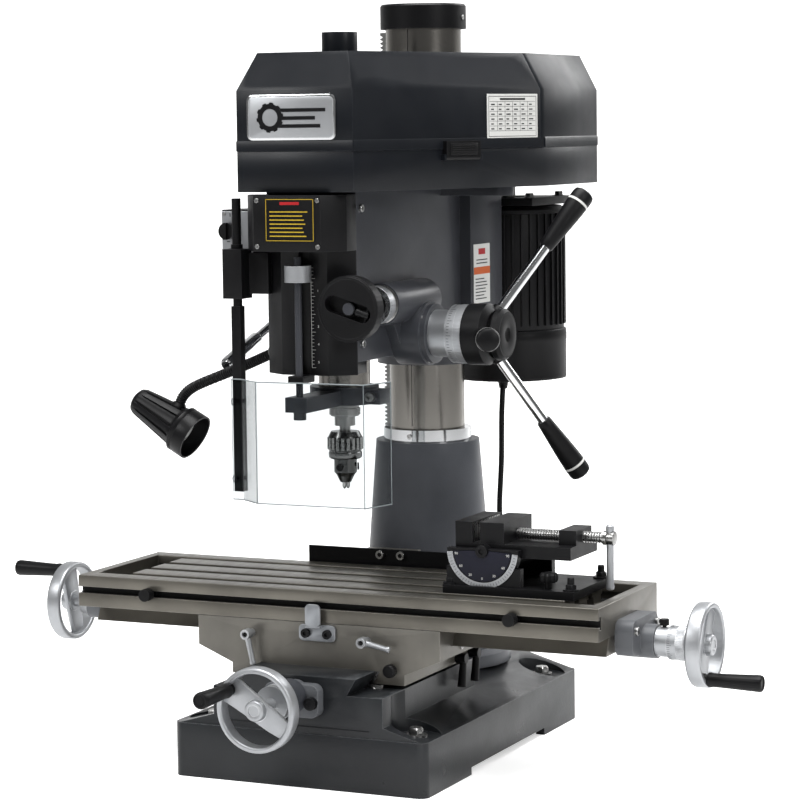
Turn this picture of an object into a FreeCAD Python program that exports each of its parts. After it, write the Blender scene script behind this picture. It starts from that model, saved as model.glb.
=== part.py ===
import FreeCAD, Part
import math
import os
import re

import Sketcher

# Round-column milling and drilling machine with its angle vise, work lamp and chuck guard.
# Frame: origin on the bench at the centre of the four hold-down holes,
# X to the operator's right, Y away from the operator, Z up. Millimetres.

DIMS = {
    # base and column
    "base_w": 397, "base_d": 580, "base_h": 78, "deck_z": 104, "wall": 14,
    "bolt_x": 160, "bolt_y": 236, "bolt_hole_r": 7,
    "column_y": 170, "column_r": 57.5, "column_top": 1094, "foot_top": 446,
    # cross ways on the base
    "way_half": 92, "way_z": 160, "ledge_z": 136, "way_front": -288, "way_back": 36,
    # table and saddle
    "table_x": 17, "table_len": 822, "table_w": 238, "table_y": -103,
    "table_z": 269.7, "apron_h": 46.5, "table_low": 195.2,
    "slot_pitch": 54.6, "slot_w": 16, "screw_z": 207.5, "cross_z": 133.7,
    "saddle_w": 384, "saddle_back": 46, "saddle_top": 222.8,
    "wheel_r": 59.5, "wheel_y": -405,
    # head
    "throat": 291, "head_w": 140, "head_low": 597, "head_top": 836,
    "quill_r": 37.5, "quill_low": 532, "feed_y": -68, "feed_z": 628,
    "motor_x": 48, "motor_y": 385, "motor_r": 88,
    "idler_x": 158, "idler_y": 90,
    "seam_z": 892, "shoulder_z": 977, "cover_top": 1030, "cover_front": -268,
    "lever_len": 250, "lever_tilt": 25,
    "gap": 0.05,
}

doc = FreeCAD.newDocument("MillDrill")
dims = doc.addObject("Spreadsheet::Sheet", "dims")
for row, (alias, value) in enumerate(DIMS.items(), start=1):
    dims.set("A%d" % row, alias)
    dims.set("B%d" % row, str(value))
    dims.setAlias("B%d" % row, alias)
doc.recompute()

NODES = []
SPINDLE_Y = "(column_y - throat)"
TABLE_LEFT = "(table_x - table_len / 2)"
TABLE_RIGHT = "(table_x + table_len / 2)"
TABLE_FRONT = "(table_y - table_w / 2)"
TABLE_BACK = "(table_y + table_w / 2)"
NUT_Y = "(-4)"
SHADE_TOP = ("-312", "-182", "531")
TURN = {
    "X": FreeCAD.Rotation(FreeCAD.Vector(0, 1, 0), 90),
    "Y": FreeCAD.Rotation(FreeCAD.Vector(1, 0, 0), -90),
    "Z": FreeCAD.Rotation(),
}


def expr(text):
    """The text with every alias of the sheet written in full."""
    return re.sub(
        r"[a-z_]+", lambda w: "dims." + w.group() if w.group() in DIMS else w.group(), str(text)
    )


def val(text):
    """The value of an expression of the sheet, in millimetres."""
    got = dims.evalExpression(expr(text))
    return float(getattr(got, "Value", got))


def bind(obj, **properties):
    for name, text in properties.items():
        obj.setExpression(name.replace("__", "."), expr(text))


def put(obj, x, y, z, rotation=None):
    """Place an object by three expressions, with a fixed turn."""
    obj.Placement = FreeCAD.Placement(
        FreeCAD.Vector(val(x), val(y), val(z)), rotation or FreeCAD.Rotation()
    )
    bind(obj, Placement__Base__x=x, Placement__Base__y=y, Placement__Base__z=z)
    return obj


def box(x0, x1, y0, y1, z0, z1, rotation=None):
    obj = doc.addObject("Part::Box", "Block")
    bind(
        obj,
        Length="(%s) - (%s)" % (x1, x0),
        Width="(%s) - (%s)" % (y1, y0),
        Height="(%s) - (%s)" % (z1, z0),
    )
    return put(obj, x0, y0, z0, rotation)


def rod(axis, x, y, z, radius, length):
    """A cylinder that starts at x, y, z and runs along +axis."""
    obj = doc.addObject("Part::Cylinder", "Rod")
    bind(obj, Radius=radius, Height=length)
    return put(obj, x, y, z, TURN[axis])


def taper(axis, x, y, z, radius_1, radius_2, length):
    obj = doc.addObject("Part::Cone", "Taper")
    bind(obj, Radius1=radius_1, Radius2=radius_2, Height=length)
    return put(obj, x, y, z, TURN[axis])


def ball(x, y, z, radius):
    obj = doc.addObject("Part::Sphere", "Ball")
    bind(obj, Radius=radius)
    return put(obj, x, y, z)


def fuse(*parts):
    obj = doc.addObject("Part::MultiFuse", "Joined")
    obj.Shapes = list(parts)
    obj.Refine = True
    return obj


def cut(body, *tools):
    obj = doc.addObject("Part::Cut", "Machined")
    obj.Base = body
    obj.Tool = tools[0] if len(tools) == 1 else fuse(*tools)
    obj.Refine = True
    return obj


def group(*parts):
    """Separate solids that make one sub-part together."""
    obj = doc.addObject("Part::Compound", "Group")
    obj.Links = list(parts)
    return obj


def turned(obj, centre, axis, angle):
    """A copy of an object turned about an axis through a point; the angle is in degrees."""
    holder = doc.addObject("Part::Compound", "Turned")
    holder.Links = [obj]
    turn = FreeCAD.Rotation(FreeCAD.Vector(*axis), angle)
    middle = FreeCAD.Vector(*[val(c) for c in centre])
    holder.Placement = FreeCAD.Placement(middle - turn.multVec(middle), turn)
    return holder


def prism(plane, points, start, length):
    """A pad of a closed outline. Plane XY runs up Z, XZ runs along +Y, YZ runs along +X."""
    body = doc.addObject("PartDesign::Body", "Prism")
    role = plane + "_Plane"
    origin_plane = next(f for f in body.Origin.OriginFeatures if f.Role == role)
    sketch = body.newObject("Sketcher::SketchObject", "Outline")
    sketch.AttachmentSupport = (origin_plane, "")
    sketch.MapMode = "FlatFace"
    corners = [FreeCAD.Vector(val(x), val(y), 0) for x, y in points]
    for a, b in zip(corners, corners[1:] + corners[:1]):
        sketch.addGeometry(Part.LineSegment(a, b), False)
    count = len(points)
    for i in range(count):
        sketch.addConstraint(Sketcher.Constraint("Coincident", i, 2, (i + 1) % count, 1))
    for i, pair in enumerate(points):
        for kind, text in zip(("DistanceX", "DistanceY"), pair):
            index = sketch.addConstraint(Sketcher.Constraint(kind, -1, 1, i, 1, val(text)))
            sketch.setExpression("Constraints[%d]" % index, expr(text))
    pad = body.newObject("PartDesign::Pad", "Pad")
    pad.Profile = sketch
    bind(pad, Length=length)
    # the XZ plane faces -Y, so its pad is turned round to run along +Y
    pad.Reversed = plane == "XZ"
    along = {"XY": ("0", "0", start), "XZ": ("0", start, "0"), "YZ": (start, "0", "0")}[plane]
    return put(body, *along)


def revolve(axis, x, y, z, profile):
    """A solid turned about an axis through x, y, z. The profile lists (radius, height)."""
    body = doc.addObject("PartDesign::Body", "Turning")
    plane = next(f for f in body.Origin.OriginFeatures if f.Role == "XZ_Plane")
    sketch = body.newObject("Sketcher::SketchObject", "Profile")
    sketch.AttachmentSupport = (plane, "")
    sketch.MapMode = "FlatFace"
    corners = [FreeCAD.Vector(val(r), val(h), 0) for r, h in profile]
    for a, b in zip(corners, corners[1:] + corners[:1]):
        sketch.addGeometry(Part.LineSegment(a, b), False)
    count = len(profile)
    for i in range(count):
        sketch.addConstraint(Sketcher.Constraint("Coincident", i, 2, (i + 1) % count, 1))
    for i, pair in enumerate(profile):
        for kind, text in zip(("DistanceX", "DistanceY"), pair):
            index = sketch.addConstraint(Sketcher.Constraint(kind, -1, 1, i, 1, val(text)))
            sketch.setExpression("Constraints[%d]" % index, expr(text))
    turning = body.newObject("PartDesign::Revolution", "Revolution")
    turning.Profile = sketch
    turning.ReferenceAxis = (sketch, ["V_Axis"])
    turning.Angle = 360
    return put(body, x, y, z, TURN[axis])


def rounded(obj, radius, keep):
    """The object with its edges rounded where keep(edge) is true."""
    doc.recompute()
    edges = [i for i, e in enumerate(obj.Shape.Edges, start=1) if keep(e)]
    out = doc.addObject("Part::Fillet", "Rounded")
    out.Base = obj
    out.Edges = [(i, radius, radius) for i in edges]
    return out


def upright(edge):
    """Whether an edge is straight and parallel to Z."""
    box_ = edge.BoundBox
    return box_.ZLength > 1 and box_.XLength < 0.01 and box_.YLength < 0.01


def node(name, obj):
    """Name an object as a finished sub-part."""
    obj.Label = name
    NODES.append(obj)
    return obj


def bench_holes(z, height, radius):
    return [
        rod("Z", sx + "bolt_x", sy + "bolt_y", z, radius, height)
        for sx in ("-", "") for sy in ("-", "")
    ]


# ---------------------------------------------------------------- base and column

def make_base():
    skirt = rounded(
        box("-base_w / 2", "base_w / 2", "-base_d / 2", "base_d / 2", "0", "base_h"), 14, upright
    )
    hip = prism(
        "XZ",
        [("-base_w / 2 + 6", "base_h - 1"), ("base_w / 2 - 6", "base_h - 1"),
         ("100", "deck_z"), ("-100", "deck_z")],
        "-base_d / 2 + 2", "base_d - 4",
    )
    ways = prism(
        "XZ",
        [("-133", "base_h - 1"), ("133", "base_h - 1"), ("133", "ledge_z"),
         ("way_half - 14", "ledge_z"), ("way_half", "way_z"), ("-way_half", "way_z"),
         ("-way_half + 14", "ledge_z"), ("-133", "ledge_z")],
        "way_front", "way_back - way_front",
    )
    body = fuse(skirt, hip, ways)
    scoops = bench_holes("base_h - 3", "60", "36")
    holes = bench_holes("-1", "base_h + 4", "bolt_hole_r")
    pads = bench_holes("-1", "base_h", "24")
    hollow = box(
        "-base_w / 2 + wall", "base_w / 2 - wall", "-base_d / 2 + wall", "base_d / 2 - wall",
        "-1", "base_h - wall",
    )
    hollow = cut(hollow, *pads)
    under_ways = box("-84", "84", "way_front + 20", "way_back - 14", "-1", "96")
    under_deck = cut(
        box("-100", "100", "column_y - 118", "column_y + 104", "-1", "88"),
        rod("Z", "0", "column_y", "-2", "column_r + 15", "100"),
    )
    feet = box("-base_w", "base_w", "-130", "150", "-1", "11")
    trough = box("-24", "24", NUT_Y + " - 178", "way_back + 1", "108", "way_z + 1")
    screw_hole = rod("Y", "0", "way_front - 1", "cross_z", "12.5", "120")
    footing = rod("Z", "0", "column_y", "-1", "column_r + gap", "deck_z + 2")
    taps = [rod("Z", x, y, "deck_z - 14", "6 + gap", "20") for x, y in foot_bolts()]
    taps += [rod("Y", x, "way_front - 1", "cross_z - 8", "6 + gap", "14") for x in ("-33", "33")]
    node("base", cut(body, hollow, under_ways, under_deck, feet, trough, screw_hole, footing,
                     *scoops, *holes, *taps))


def foot_bolts():
    """Where the four bolts of the column's foot stand."""
    reach = "(115 / sqrt(2))"
    return [(sx + reach, "column_y " + sy + reach) for sx in ("-", "") for sy in ("-", "+")]


def make_column():
    foot = revolve(
        "Z", "0", "column_y", "0",
        [("column_r + gap", "deck_z"), ("126", "deck_z"), ("126", "deck_z + 18"),
         ("104", "deck_z + 22"), ("79.5", "foot_top"), ("column_r + gap", "foot_top")],
    )
    spots = foot_bolts()
    seats = [rod("Z", x, y, "deck_z + 18", "13", "60") for x, y in spots]
    holes = [rod("Z", x, y, "deck_z - 1", "6.1", "40") for x, y in spots]
    relief = taper("Z", "0", "column_y", "deck_z - 1", "88", "70", "foot_top - deck_z - 70")
    node("column_foot", cut(foot, relief, *seats, *holes))
    bolts = [
        fuse(rod("Z", x, y, "deck_z - 12", "6", "31"), rod("Z", x, y, "deck_z + 18", "9", "8"))
        for x, y in spots
    ]
    bracket_bolts = [
        fuse(rod("Y", x, "way_front - 19", "cross_z - 8", "6", "30"),
             rod("Y", x, "way_front - 26", "cross_z - 8", "9", "8"))
        for x in ("-33", "33")
    ]
    node("frame_bolts", group(*bolts, *bracket_bolts))
    node("column", cut(
        rod("Z", "0", "column_y", "deck_z", "column_r", "column_top - deck_z"),
        rod("Z", "0", "column_y", "deck_z - 1", "column_r - 12", "column_top"),
    ))
    cap = revolve(
        "Z", "0", "column_y", "0",
        [("0", "column_top"), ("column_r + gap", "column_top"),
         ("column_r + gap", "column_top - 22"), ("65.3", "column_top - 22"),
         ("65.3", "column_top + 12"), ("63", "column_top + 15"), ("0", "column_top + 15")],
    )
    node("column_cap", cap)
    node("column_ring", cut(
        rod("Z", "0", "column_y", "foot_top", "67.5", "18.5"),
        rod("Z", "0", "column_y", "foot_top - 1", "column_r + gap", "30"),
    ))


def make_rack():
    """The toothed rack on the column's left side; the head climbs it."""
    left = -DIMS["column_r"] - 11
    right = -DIMS["column_r"] - 0.2
    half_width = 9
    pitch = 2 * math.pi
    low = DIMS["foot_top"] + 19
    count = 95
    outline = [(right, low), (left, low)]
    for i in range(count):
        z = low + 3 + i * pitch
        outline += [(left, z), (left + 4, z + pitch * 0.3), (left + 4, z + pitch * 0.45)]
        outline += [(left, z + pitch * 0.75)]
    outline.append((left, low + 6 + count * pitch))
    outline.append((right, low + 6 + count * pitch))
    y = DIMS["column_y"] - half_width
    points = [FreeCAD.Vector(x, y, z) for x, z in outline]
    face = Part.Face(Part.makePolygon(points + points[:1]))
    rack = doc.addObject("Part::Feature", "Rack")
    rack.Shape = face.extrude(FreeCAD.Vector(0, 2 * half_width, 0))
    node("rack", rack)


# ---------------------------------------------------------------- cross feed

def handwheel(axis, x, y, z):
    """The rim, hub and flat web of a wheel; the web is a bar across the rim."""
    back = {"X": ("%s - 11" % x, y, z), "Y": (x, "%s - 11" % y, z)}[axis]
    rim = cut(rod(axis, *back, "wheel_r", "22"), rod(axis, *back, "wheel_r - 8", "23"))
    if axis == "X":
        hub = rod("X", "%s - 13" % x, y, z, "14", "26")
        web = box("%s - 3.5" % x, "%s + 3.5" % x, "%s - 15" % y, "%s + 15" % y,
                  "%s - wheel_r + 5" % z, "%s + wheel_r - 5" % z)
    else:
        hub = rod("Y", x, "%s - 13" % y, z, "14", "26")
        web = box("%s - 15" % x, "%s + 15" % x, "%s - 3.5" % y, "%s + 3.5" % y,
                  "%s - wheel_r + 5" % z, "%s + wheel_r - 5" % z)
    return rim, hub, web


def grip(axis, x, y, z, length, side):
    """A tapered revolving handle with a bore for its pin."""
    if side > 0:
        body = taper(axis, x, y, z, "9", "12", length)
        return body
    shift = {"X": ("%s - %s" % (x, length), y, z), "Y": (x, "%s - %s" % (y, length), z)}[axis]
    return taper(axis, *shift, "12", "9", length)


def make_cross_feed():
    plate = rounded(
        box("-42", "42", "way_front - 18", "way_front", "104", "151"),
        12, lambda e: e.BoundBox.YLength > 1 and e.BoundBox.XLength < 0.01
    )
    boss = rod("Y", "0", "way_front - 56", "cross_z", "21", "56")
    bore = rod("Y", "0", "way_front - 60", "cross_z", "8 + gap", "70")
    screws = [rod("Y", x, "way_front - 20", "cross_z - 8", "6.1", "30") for x in ("-33", "33")]
    node("y_bracket", cut(fuse(plate, boss), bore, *screws))
    screw = fuse(
        rod("Y", "0", "wheel_y - 12", "cross_z", "8", "way_back - wheel_y + 8"),
        rod("Y", "0", "way_front - 77", "cross_z", "25", "20.5"),
    )
    node("y_leadscrew", screw)
    rim, hub, web = handwheel("Y", "0", "wheel_y", "cross_z")
    pin = rod("Y", "-41", "wheel_y - 88", "cross_z + 26", "4.5", "88")
    wheel = cut(fuse(rim, hub, web), rod("Y", "0", "wheel_y - 20", "cross_z", "8 + gap", "50"))
    node("y_handwheel", fuse(wheel, pin))
    handle = cut(
        grip("Y", "-41", "wheel_y - 11.5", "cross_z + 26", "78", -1),
        rod("Y", "-41", "wheel_y - 100", "cross_z + 26", "4.5 + gap", "120"),
    )
    node("y_handle", handle)


# ---------------------------------------------------------------- saddle and table

def make_saddle():
    half = "saddle_w / 2"
    dove = "way_half + 0.3"
    block = prism(
        "XZ",
        [("-" + half, "saddle_top"), ("-" + half, "180"), ("-137", "157"), ("-137", "142"),
         ("-(%s) + 10.4" % dove, "142"), ("-(%s)" % dove, "way_z + gap"),
         ("%s + 6.2" % dove, "way_z + gap"), ("%s - 4.2" % dove, "142"),
         ("137", "142"), ("137", "157"), (half, "180"), (half, "saddle_top")],
        TABLE_FRONT, "saddle_back - " + TABLE_FRONT,
    )
    channel = prism(
        "YZ",
        [("table_y - 76.3", "table_low - 0.5"), ("table_y + 78.3", "table_low - 0.5"),
         ("table_y + 64.3", "saddle_top + 1"), ("table_y - 62.3", "saddle_top + 1")],
        "-250", "500",
    )
    upstand = box("-42", "42", "34", "saddle_back", "saddle_top - 1", "292")
    lock_holes = [rod("Y", x, TABLE_FRONT + " - 1", "203", "5.1", "24") for x in ("-104", "80")]
    side_holes = [rod("X", "117", y, "149.5", "4.1", "30") for y in ("-40", "8")]
    stop_holes = [rod("Y", x, TABLE_FRONT + " - 1", "210.5", "4.1", "20") for x in ("-15", "19")]
    guard_holes = [rod("Y", x, "20", "284", "4.1", "24") for x in ("-17", "17")]
    node("saddle", cut(
        fuse(block, upstand), channel, *lock_holes, *side_holes, *stop_holes, *guard_holes
    ))
    gib = prism(
        "XZ",
        [("way_half + 0.3 - 13.1", "ledge_z + 1"), ("way_half + 6 - 13.1", "ledge_z + 1"),
         ("way_half + 6", "way_z"), ("way_half + 0.3", "way_z")],
        TABLE_FRONT + " + 4", "saddle_back - " + TABLE_FRONT + " - 8",
    )
    table_gib = prism(
        "YZ",
        [("table_y + 72.1", "table_low"), ("table_y + 78", "table_low"),
         ("table_y + 64.7", "saddle_top"), ("table_y + 58.8", "saddle_top")],
        "-saddle_w / 2 + 4", "saddle_w - 8",
    )
    nuts = [
        cut(box("-22", "22", "table_y - 18", "table_y + 18", "table_low - 0.5", "219"),
            rod("X", "-30", "table_y", "screw_z", "9 + gap", "60")),
        cut(box("-22", "22", NUT_Y + " - 16", NUT_Y + " + 16", "118", "way_z + gap"),
            rod("Y", "0", NUT_Y + " - 20", "cross_z", "8 + gap", "60")),
    ]
    node("gib_and_nuts", group(gib, table_gib, *nuts))
    plate = box("-138", "138", "30.5", "33.9", "252", "292")
    plate = cut(plate, *[rod("Y", x, "28", "284", "4.1", "8") for x in ("-17", "17")])
    rear = [
        fuse(rod("Y", x, "30.5", "284", "4", "13"), rod("Y", x, "25", "284", "6.5", "5.5"))
        for x in ("-17", "17")
    ]
    node("way_guard", group(plate, *rear))
    stop = fuse(
        box("-27", "31", TABLE_FRONT + " - 4", TABLE_FRONT + " - 0.1", "197", "221"),
        box("-13", "11", TABLE_FRONT + " - 12", TABLE_FRONT + " - 8", "218", "251"),
        box("-13", "11", TABLE_FRONT + " - 12", TABLE_FRONT + " - 0.2", "217", "221"),
    )
    stop = cut(
        stop, *[rod("Y", x, TABLE_FRONT + " - 9", "210.5", "4.1", "12") for x in ("-15", "19")]
    )
    front = [
        fuse(rod("Y", x, TABLE_FRONT + " - 4", "210.5", "4", "20"),
             rod("Y", x, TABLE_FRONT + " - 10", "210.5", "6.5", "6"))
        for x in ("-15", "19")
    ]
    node("stop_bracket", group(stop, *front))


def lock_lever(name, axis, x, y, z, stem, arm_angle, arm_length):
    """A clamp lever: a stem into the saddle, a boss and a tapered arm; angle from +Z down."""
    if axis == "Y":
        shank = rod("Y", x, "%s - 1" % y, z, "5", "%s + 1" % stem)
        boss = rod("Y", x, "%s - 24" % y, z, "8", "23.9")
        arm = taper("Z", x, "%s - 16" % y, z, "5.5", "4", arm_length)
        arm = turned(arm, (x, "%s - 16" % y, z), (0, 1, 0), arm_angle)
    else:
        shank = rod("X", "%s - %s" % (x, stem), y, z, "4", "%s + 1" % stem)
        boss = rod("X", x, y, z, "7.5", "16")
        arm = taper("Z", "%s + 11" % x, y, z, "5", "6.5", arm_length)
        arm = turned(arm, ("%s + 11" % x, y, z), (1, 0, 0), arm_angle)
    node(name, fuse(shank, boss, arm))


def make_locks():
    lock_lever("table_lock_left", "Y", "-104", TABLE_FRONT, "203", "20", 168, "44")
    lock_lever("table_lock_right", "Y", "80", TABLE_FRONT, "203", "20", 101, "42")
    lock_lever("saddle_lock_front", "X", "137.1", "-40", "149.5", "16", 170, "42")
    lock_lever("saddle_lock_rear", "X", "137.1", "8", "149.5", "16", 170, "42")


def make_table():
    deck = box(TABLE_LEFT, TABLE_RIGHT, TABLE_FRONT, TABLE_BACK, "table_z - apron_h", "table_z")
    slide = prism(
        "YZ",
        [("table_y - 76", "table_low"), ("table_y + 72", "table_low"),
         ("table_y + 58", "table_z - apron_h + 1"), ("table_y - 62", "table_z - apron_h + 1")],
        TABLE_LEFT + " + 5", "table_len - 10",
    )
    body = fuse(deck, slide)
    slots = []
    for i in (-1.5, -0.5, 0.5, 1.5):
        y = "table_y + slot_pitch * (%s)" % i
        slots.append(box(TABLE_LEFT + " + 17", TABLE_RIGHT + " - 17", y + " - slot_w / 2",
                         y + " + slot_w / 2", "table_z - 20", "table_z + 1"))
        slots.append(box(TABLE_LEFT + " + 17", TABLE_RIGHT + " - 17", y + " - 13", y + " + 13",
                         "table_z - 24", "table_z - 13"))
    trough_half = "slot_pitch * 1.5 + slot_w / 2"
    wells = [
        box(x0, x1, "table_y - " + trough_half, "table_y + " + trough_half,
            "table_z - 24", "table_z + 1")
        for x0, x1 in ((TABLE_LEFT + " + 16", TABLE_LEFT + " + 67"),
                       (TABLE_RIGHT + " - 67", TABLE_RIGHT + " - 16"))
    ]
    tunnel = box(TABLE_LEFT + " - 1", TABLE_RIGHT + " + 1", "table_y - 24", "table_y + 24",
                 "table_low - 1", "228")
    groove = fuse(
        box(TABLE_LEFT + " - 1", TABLE_RIGHT + " + 1", TABLE_FRONT + " - 1",
            TABLE_FRONT + " + 11", "243.2", "252.8"),
        box(TABLE_LEFT + " - 1", TABLE_RIGHT + " + 1", TABLE_FRONT + " + 6",
            TABLE_FRONT + " + 11", "239", "257"),
    )
    node("table", cut(body, tunnel, groove, *slots, *wells))
    brackets = []
    for x0, x1, boss_x, boss_len in (
        (TABLE_LEFT + " - 26", TABLE_LEFT, TABLE_LEFT + " - 44", "44"),
        (TABLE_RIGHT, TABLE_RIGHT + " + 26", TABLE_RIGHT, "44"),
    ):
        plate = rounded(
            box(x0, x1, "table_y - 56", "table_y + 50", "192", "243"),
            16, lambda e: e.BoundBox.XLength > 1 and e.BoundBox.YLength < 0.01
        )
        boss = rod("X", boss_x, "table_y", "screw_z", "24", boss_len)
        bore = rod("X", boss_x + " - 1", "table_y", "screw_z", "9 + gap", "60")
        brackets.append(cut(fuse(plate, boss), bore))
    node("table_brackets", group(*brackets))


def make_stop_dog(name, x):
    """A stop dog in the table's front groove: T-shaped nut, thumb screw head outside."""
    nut = box("%s - 9" % x, "%s + 9" % x, TABLE_FRONT + " + 6.5", TABLE_FRONT + " + 10.5",
              "240", "256")
    stem = rod("Y", x, TABLE_FRONT + " - 6", "248", "4", "16")
    head = rod("Y", x, TABLE_FRONT + " - 15", "248", "9", "14.5")
    node(name, fuse(nut, stem, head))


def make_long_feed():
    screw = fuse(
        rod("X", TABLE_LEFT + " - 82", "table_y", "screw_z", "9", "table_len + 206"),
        rod("X", TABLE_RIGHT + " + 44.5", "table_y", "screw_z", "21", "18"),
        rod("X", TABLE_RIGHT + " + 62.5", "table_y", "screw_z", "24", "26"),
        rod("X", TABLE_LEFT + " - 62", "table_y", "screw_z", "19", "17.5"),
    )
    node("x_leadscrew", screw)
    wheels = []
    for x, turn, side in ((TABLE_LEFT + " - 84", 14, -1), (TABLE_RIGHT + " + 112", 155, 1)):
        rim, hub, web = handwheel("X", x, "table_y", "screw_z")
        start = "%s - 88" % x if side < 0 else x
        pin = rod("X", start, "table_y", "screw_z + 49", "4.5", "88")
        whole = cut(fuse(rim, hub, web), rod("X", "%s - 20" % x, "table_y", "screw_z",
                                             "9 + gap", "50"))
        wheels.append(turned(fuse(whole, pin), (x, "table_y", "screw_z"), (1, 0, 0), turn))
    node("x_handwheels", group(*wheels))
    for name, x, turn, side in (("x_handle_left", TABLE_LEFT + " - 84", 14, -1),
                                ("x_handle_right", TABLE_RIGHT + " + 112", 155, 1)):
        start = "%s + %s" % (x, 11.5 * side)
        low = "%s - 92" % x if side < 0 else "%s - 4" % x
        handle = cut(
            grip("X", start, "table_y", "screw_z + 49", "78", side),
            rod("X", low, "table_y", "screw_z + 49", "4.5 + gap", "96"),
        )
        node(name, turned(handle, (x, "table_y", "screw_z"), (1, 0, 0), turn))


# ---------------------------------------------------------------- angle vise

def make_vise():
    """An angle vise on the right of the table: the body tips about a pivot along Y."""
    pivot = ("235", "332")
    y0, y1 = "table_y - 52", "table_y + 52"
    foot = box("176", "374", "table_y - 72", "table_y + 72", "table_z", "table_z + 12")
    cheeks = [
        fuse(
            box("180", "292", a, b, "table_z + 11", "%s - 24" % pivot[1]),
            rod("Y", pivot[0], a, pivot[1], "54", "%s - (%s)" % (b, a)),
        )
        for a, b in (("table_y - 66", "table_y - 54"), ("table_y + 54", "table_y + 66"))
    ]
    trims = [
        box("170", "300", "table_y - 80", "table_y + 80", "%s + 2" % pivot[1], "400"),
        rod("Y", pivot[0], "table_y - 80", "331", "8.1", "160"),
    ]
    node("vise_base", cut(fuse(foot, *cheeks), *trims))
    bed = fuse(
        box("188", "362", y0, y1, "322", "340"),
        box("188", "214", y0, y1, "339", "370"),
        box("336", "362", "table_y - 30", "table_y + 30", "339", "361"),
        rod("Y", pivot[0], "table_y - 66", "331", "8", "132"),
        cut(rod("Y", pivot[0], y0 + " + 2", pivot[1], "42", "100"),
            box("170", "300", "table_y - 60", "table_y + 60", "330", "400")),
    )
    bore = rod("X", "330", "table_y", "349", "8 + gap", "40")
    node("vise_body", cut(bed, bore))
    jaw = cut(
        box("226", "262", y0, y1, "340.2", "370"),
        rod("X", "244", "table_y", "349", "6 + gap", "30"),
    )
    node("vise_jaw", jaw)
    screw = fuse(
        rod("X", "245", "table_y", "349", "6", "20"),
        rod("X", "264", "table_y", "349", "8", "138"),
        rod("X", "392", "table_y", "349", "10", "16"),
    )
    screw = cut(screw, rod("Z", "401", "table_y", "330", "4 + gap", "40"))
    bar = fuse(
        rod("Z", "401", "table_y", "280", "4", "84"),
        ball("401", "table_y", "280", "5.5"), ball("401", "table_y", "363", "5.5"),
    )
    node("vise_screw", group(screw, bar))


# ---------------------------------------------------------------- head

def make_head():
    front = box("-head_w / 2", "head_w / 2", "-220", "140", "head_low", "head_top")
    barrel = rod("Z", "0", "column_y", "565", "76", "head_top - 565")
    rear = box("-88", "88", "140", "262", "590", "head_top")
    clamp = box("-118", "-70", "column_y - 30", "column_y + 30", "590", "668")
    idler_lug = fuse(
        box("60", "idler_x", "idler_y - 20", "idler_y + 20", "head_top - 14", "head_top"),
        rod("Z", "idler_x", "idler_y", "head_top - 14", "20", "14"),
        rod("Z", "idler_x", "idler_y", "head_top - 14", "8", "110"),
    )
    body = fuse(front, barrel, rear, clamp, idler_lug)
    bore = rod("Z", "0", "column_y", "560", "column_r + gap", "300")
    keyway = box("-column_r - 11.4", "-column_r + 6", "column_y - 9.3", "column_y + 9.3",
                 "560", "head_top + 1")
    quill_bore = rod("Z", "0", SPINDLE_Y, "590", "quill_r + gap", "300")
    pinion_bore = rod("X", "-60", "feed_y", "feed_z", "15.4", "131")
    shaft_bore = rod("X", "-62", "feed_y", "feed_z", "10 + gap", "140")
    crank_bore = rod("X", "-130", "-20", "feed_z", "6.5 + gap", "80")
    worm_room = rod("Y", "80", "feed_y - 24", "675", "13.4", "48")
    cavities = [
        box("-56", "56", "-38", "column_y - 76", "612", "head_top + 1"),
        box("-56", "44", "-208", "-170", "612", "head_top + 1"),
    ]
    head = cut(body, bore, keyway, quill_bore, pinion_bore, shaft_bore, crank_bore,
               fine_feed_groove(), worm_room, *cavities)
    node("head", head)


def fine_feed_groove():
    """Room for the fine-feed dial, which stands partly inside the head's right side."""
    return rod("Y", "80", "-232", "675", "28", "66")


def make_front_cover():
    """The black front of the head: the scale housing and the wider control box over it."""
    housing = prism(
        "XY",
        [("-70", "-220"), ("70", "-220"), ("36", "-245"), ("-36", "-245")],
        "579", "176",
    )
    chin = box("-62", "62", "-220", "-175", "579", "597")
    box_ = prism(
        "XY",
        [("-92", "-220"), ("70", "-220"), ("70", "-250"), ("46", "-284"), ("-58", "-284"),
         ("-92", "-236")],
        "754", "78",
    )
    groove = box("-8", "8", "-246", "-236", "578", "755")
    lug = box("-12", "12", "-276", "-240", "570", "580")
    rod_hole = rod("Z", "0", "-264", "560", "5 + gap", "300")
    guard_lug = cut(
        fuse(box("-120", "-90", "-262", "-230", "686", "756"),
             box("-92", "-60", "-238", "-221", "692", "750")),
        rod("Z", "-105", "-246", "680", "6.5 + gap", "80"),
    )
    body = fuse(cut(housing, groove), lug, box_, guard_lug)
    quill_way = rod("Z", "0", SPINDLE_Y, "560", "quill_r + 1", "60")
    node("front_cover", cut(fuse(body, cut(chin, quill_way)), rod_hole, fine_feed_groove()))


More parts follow.
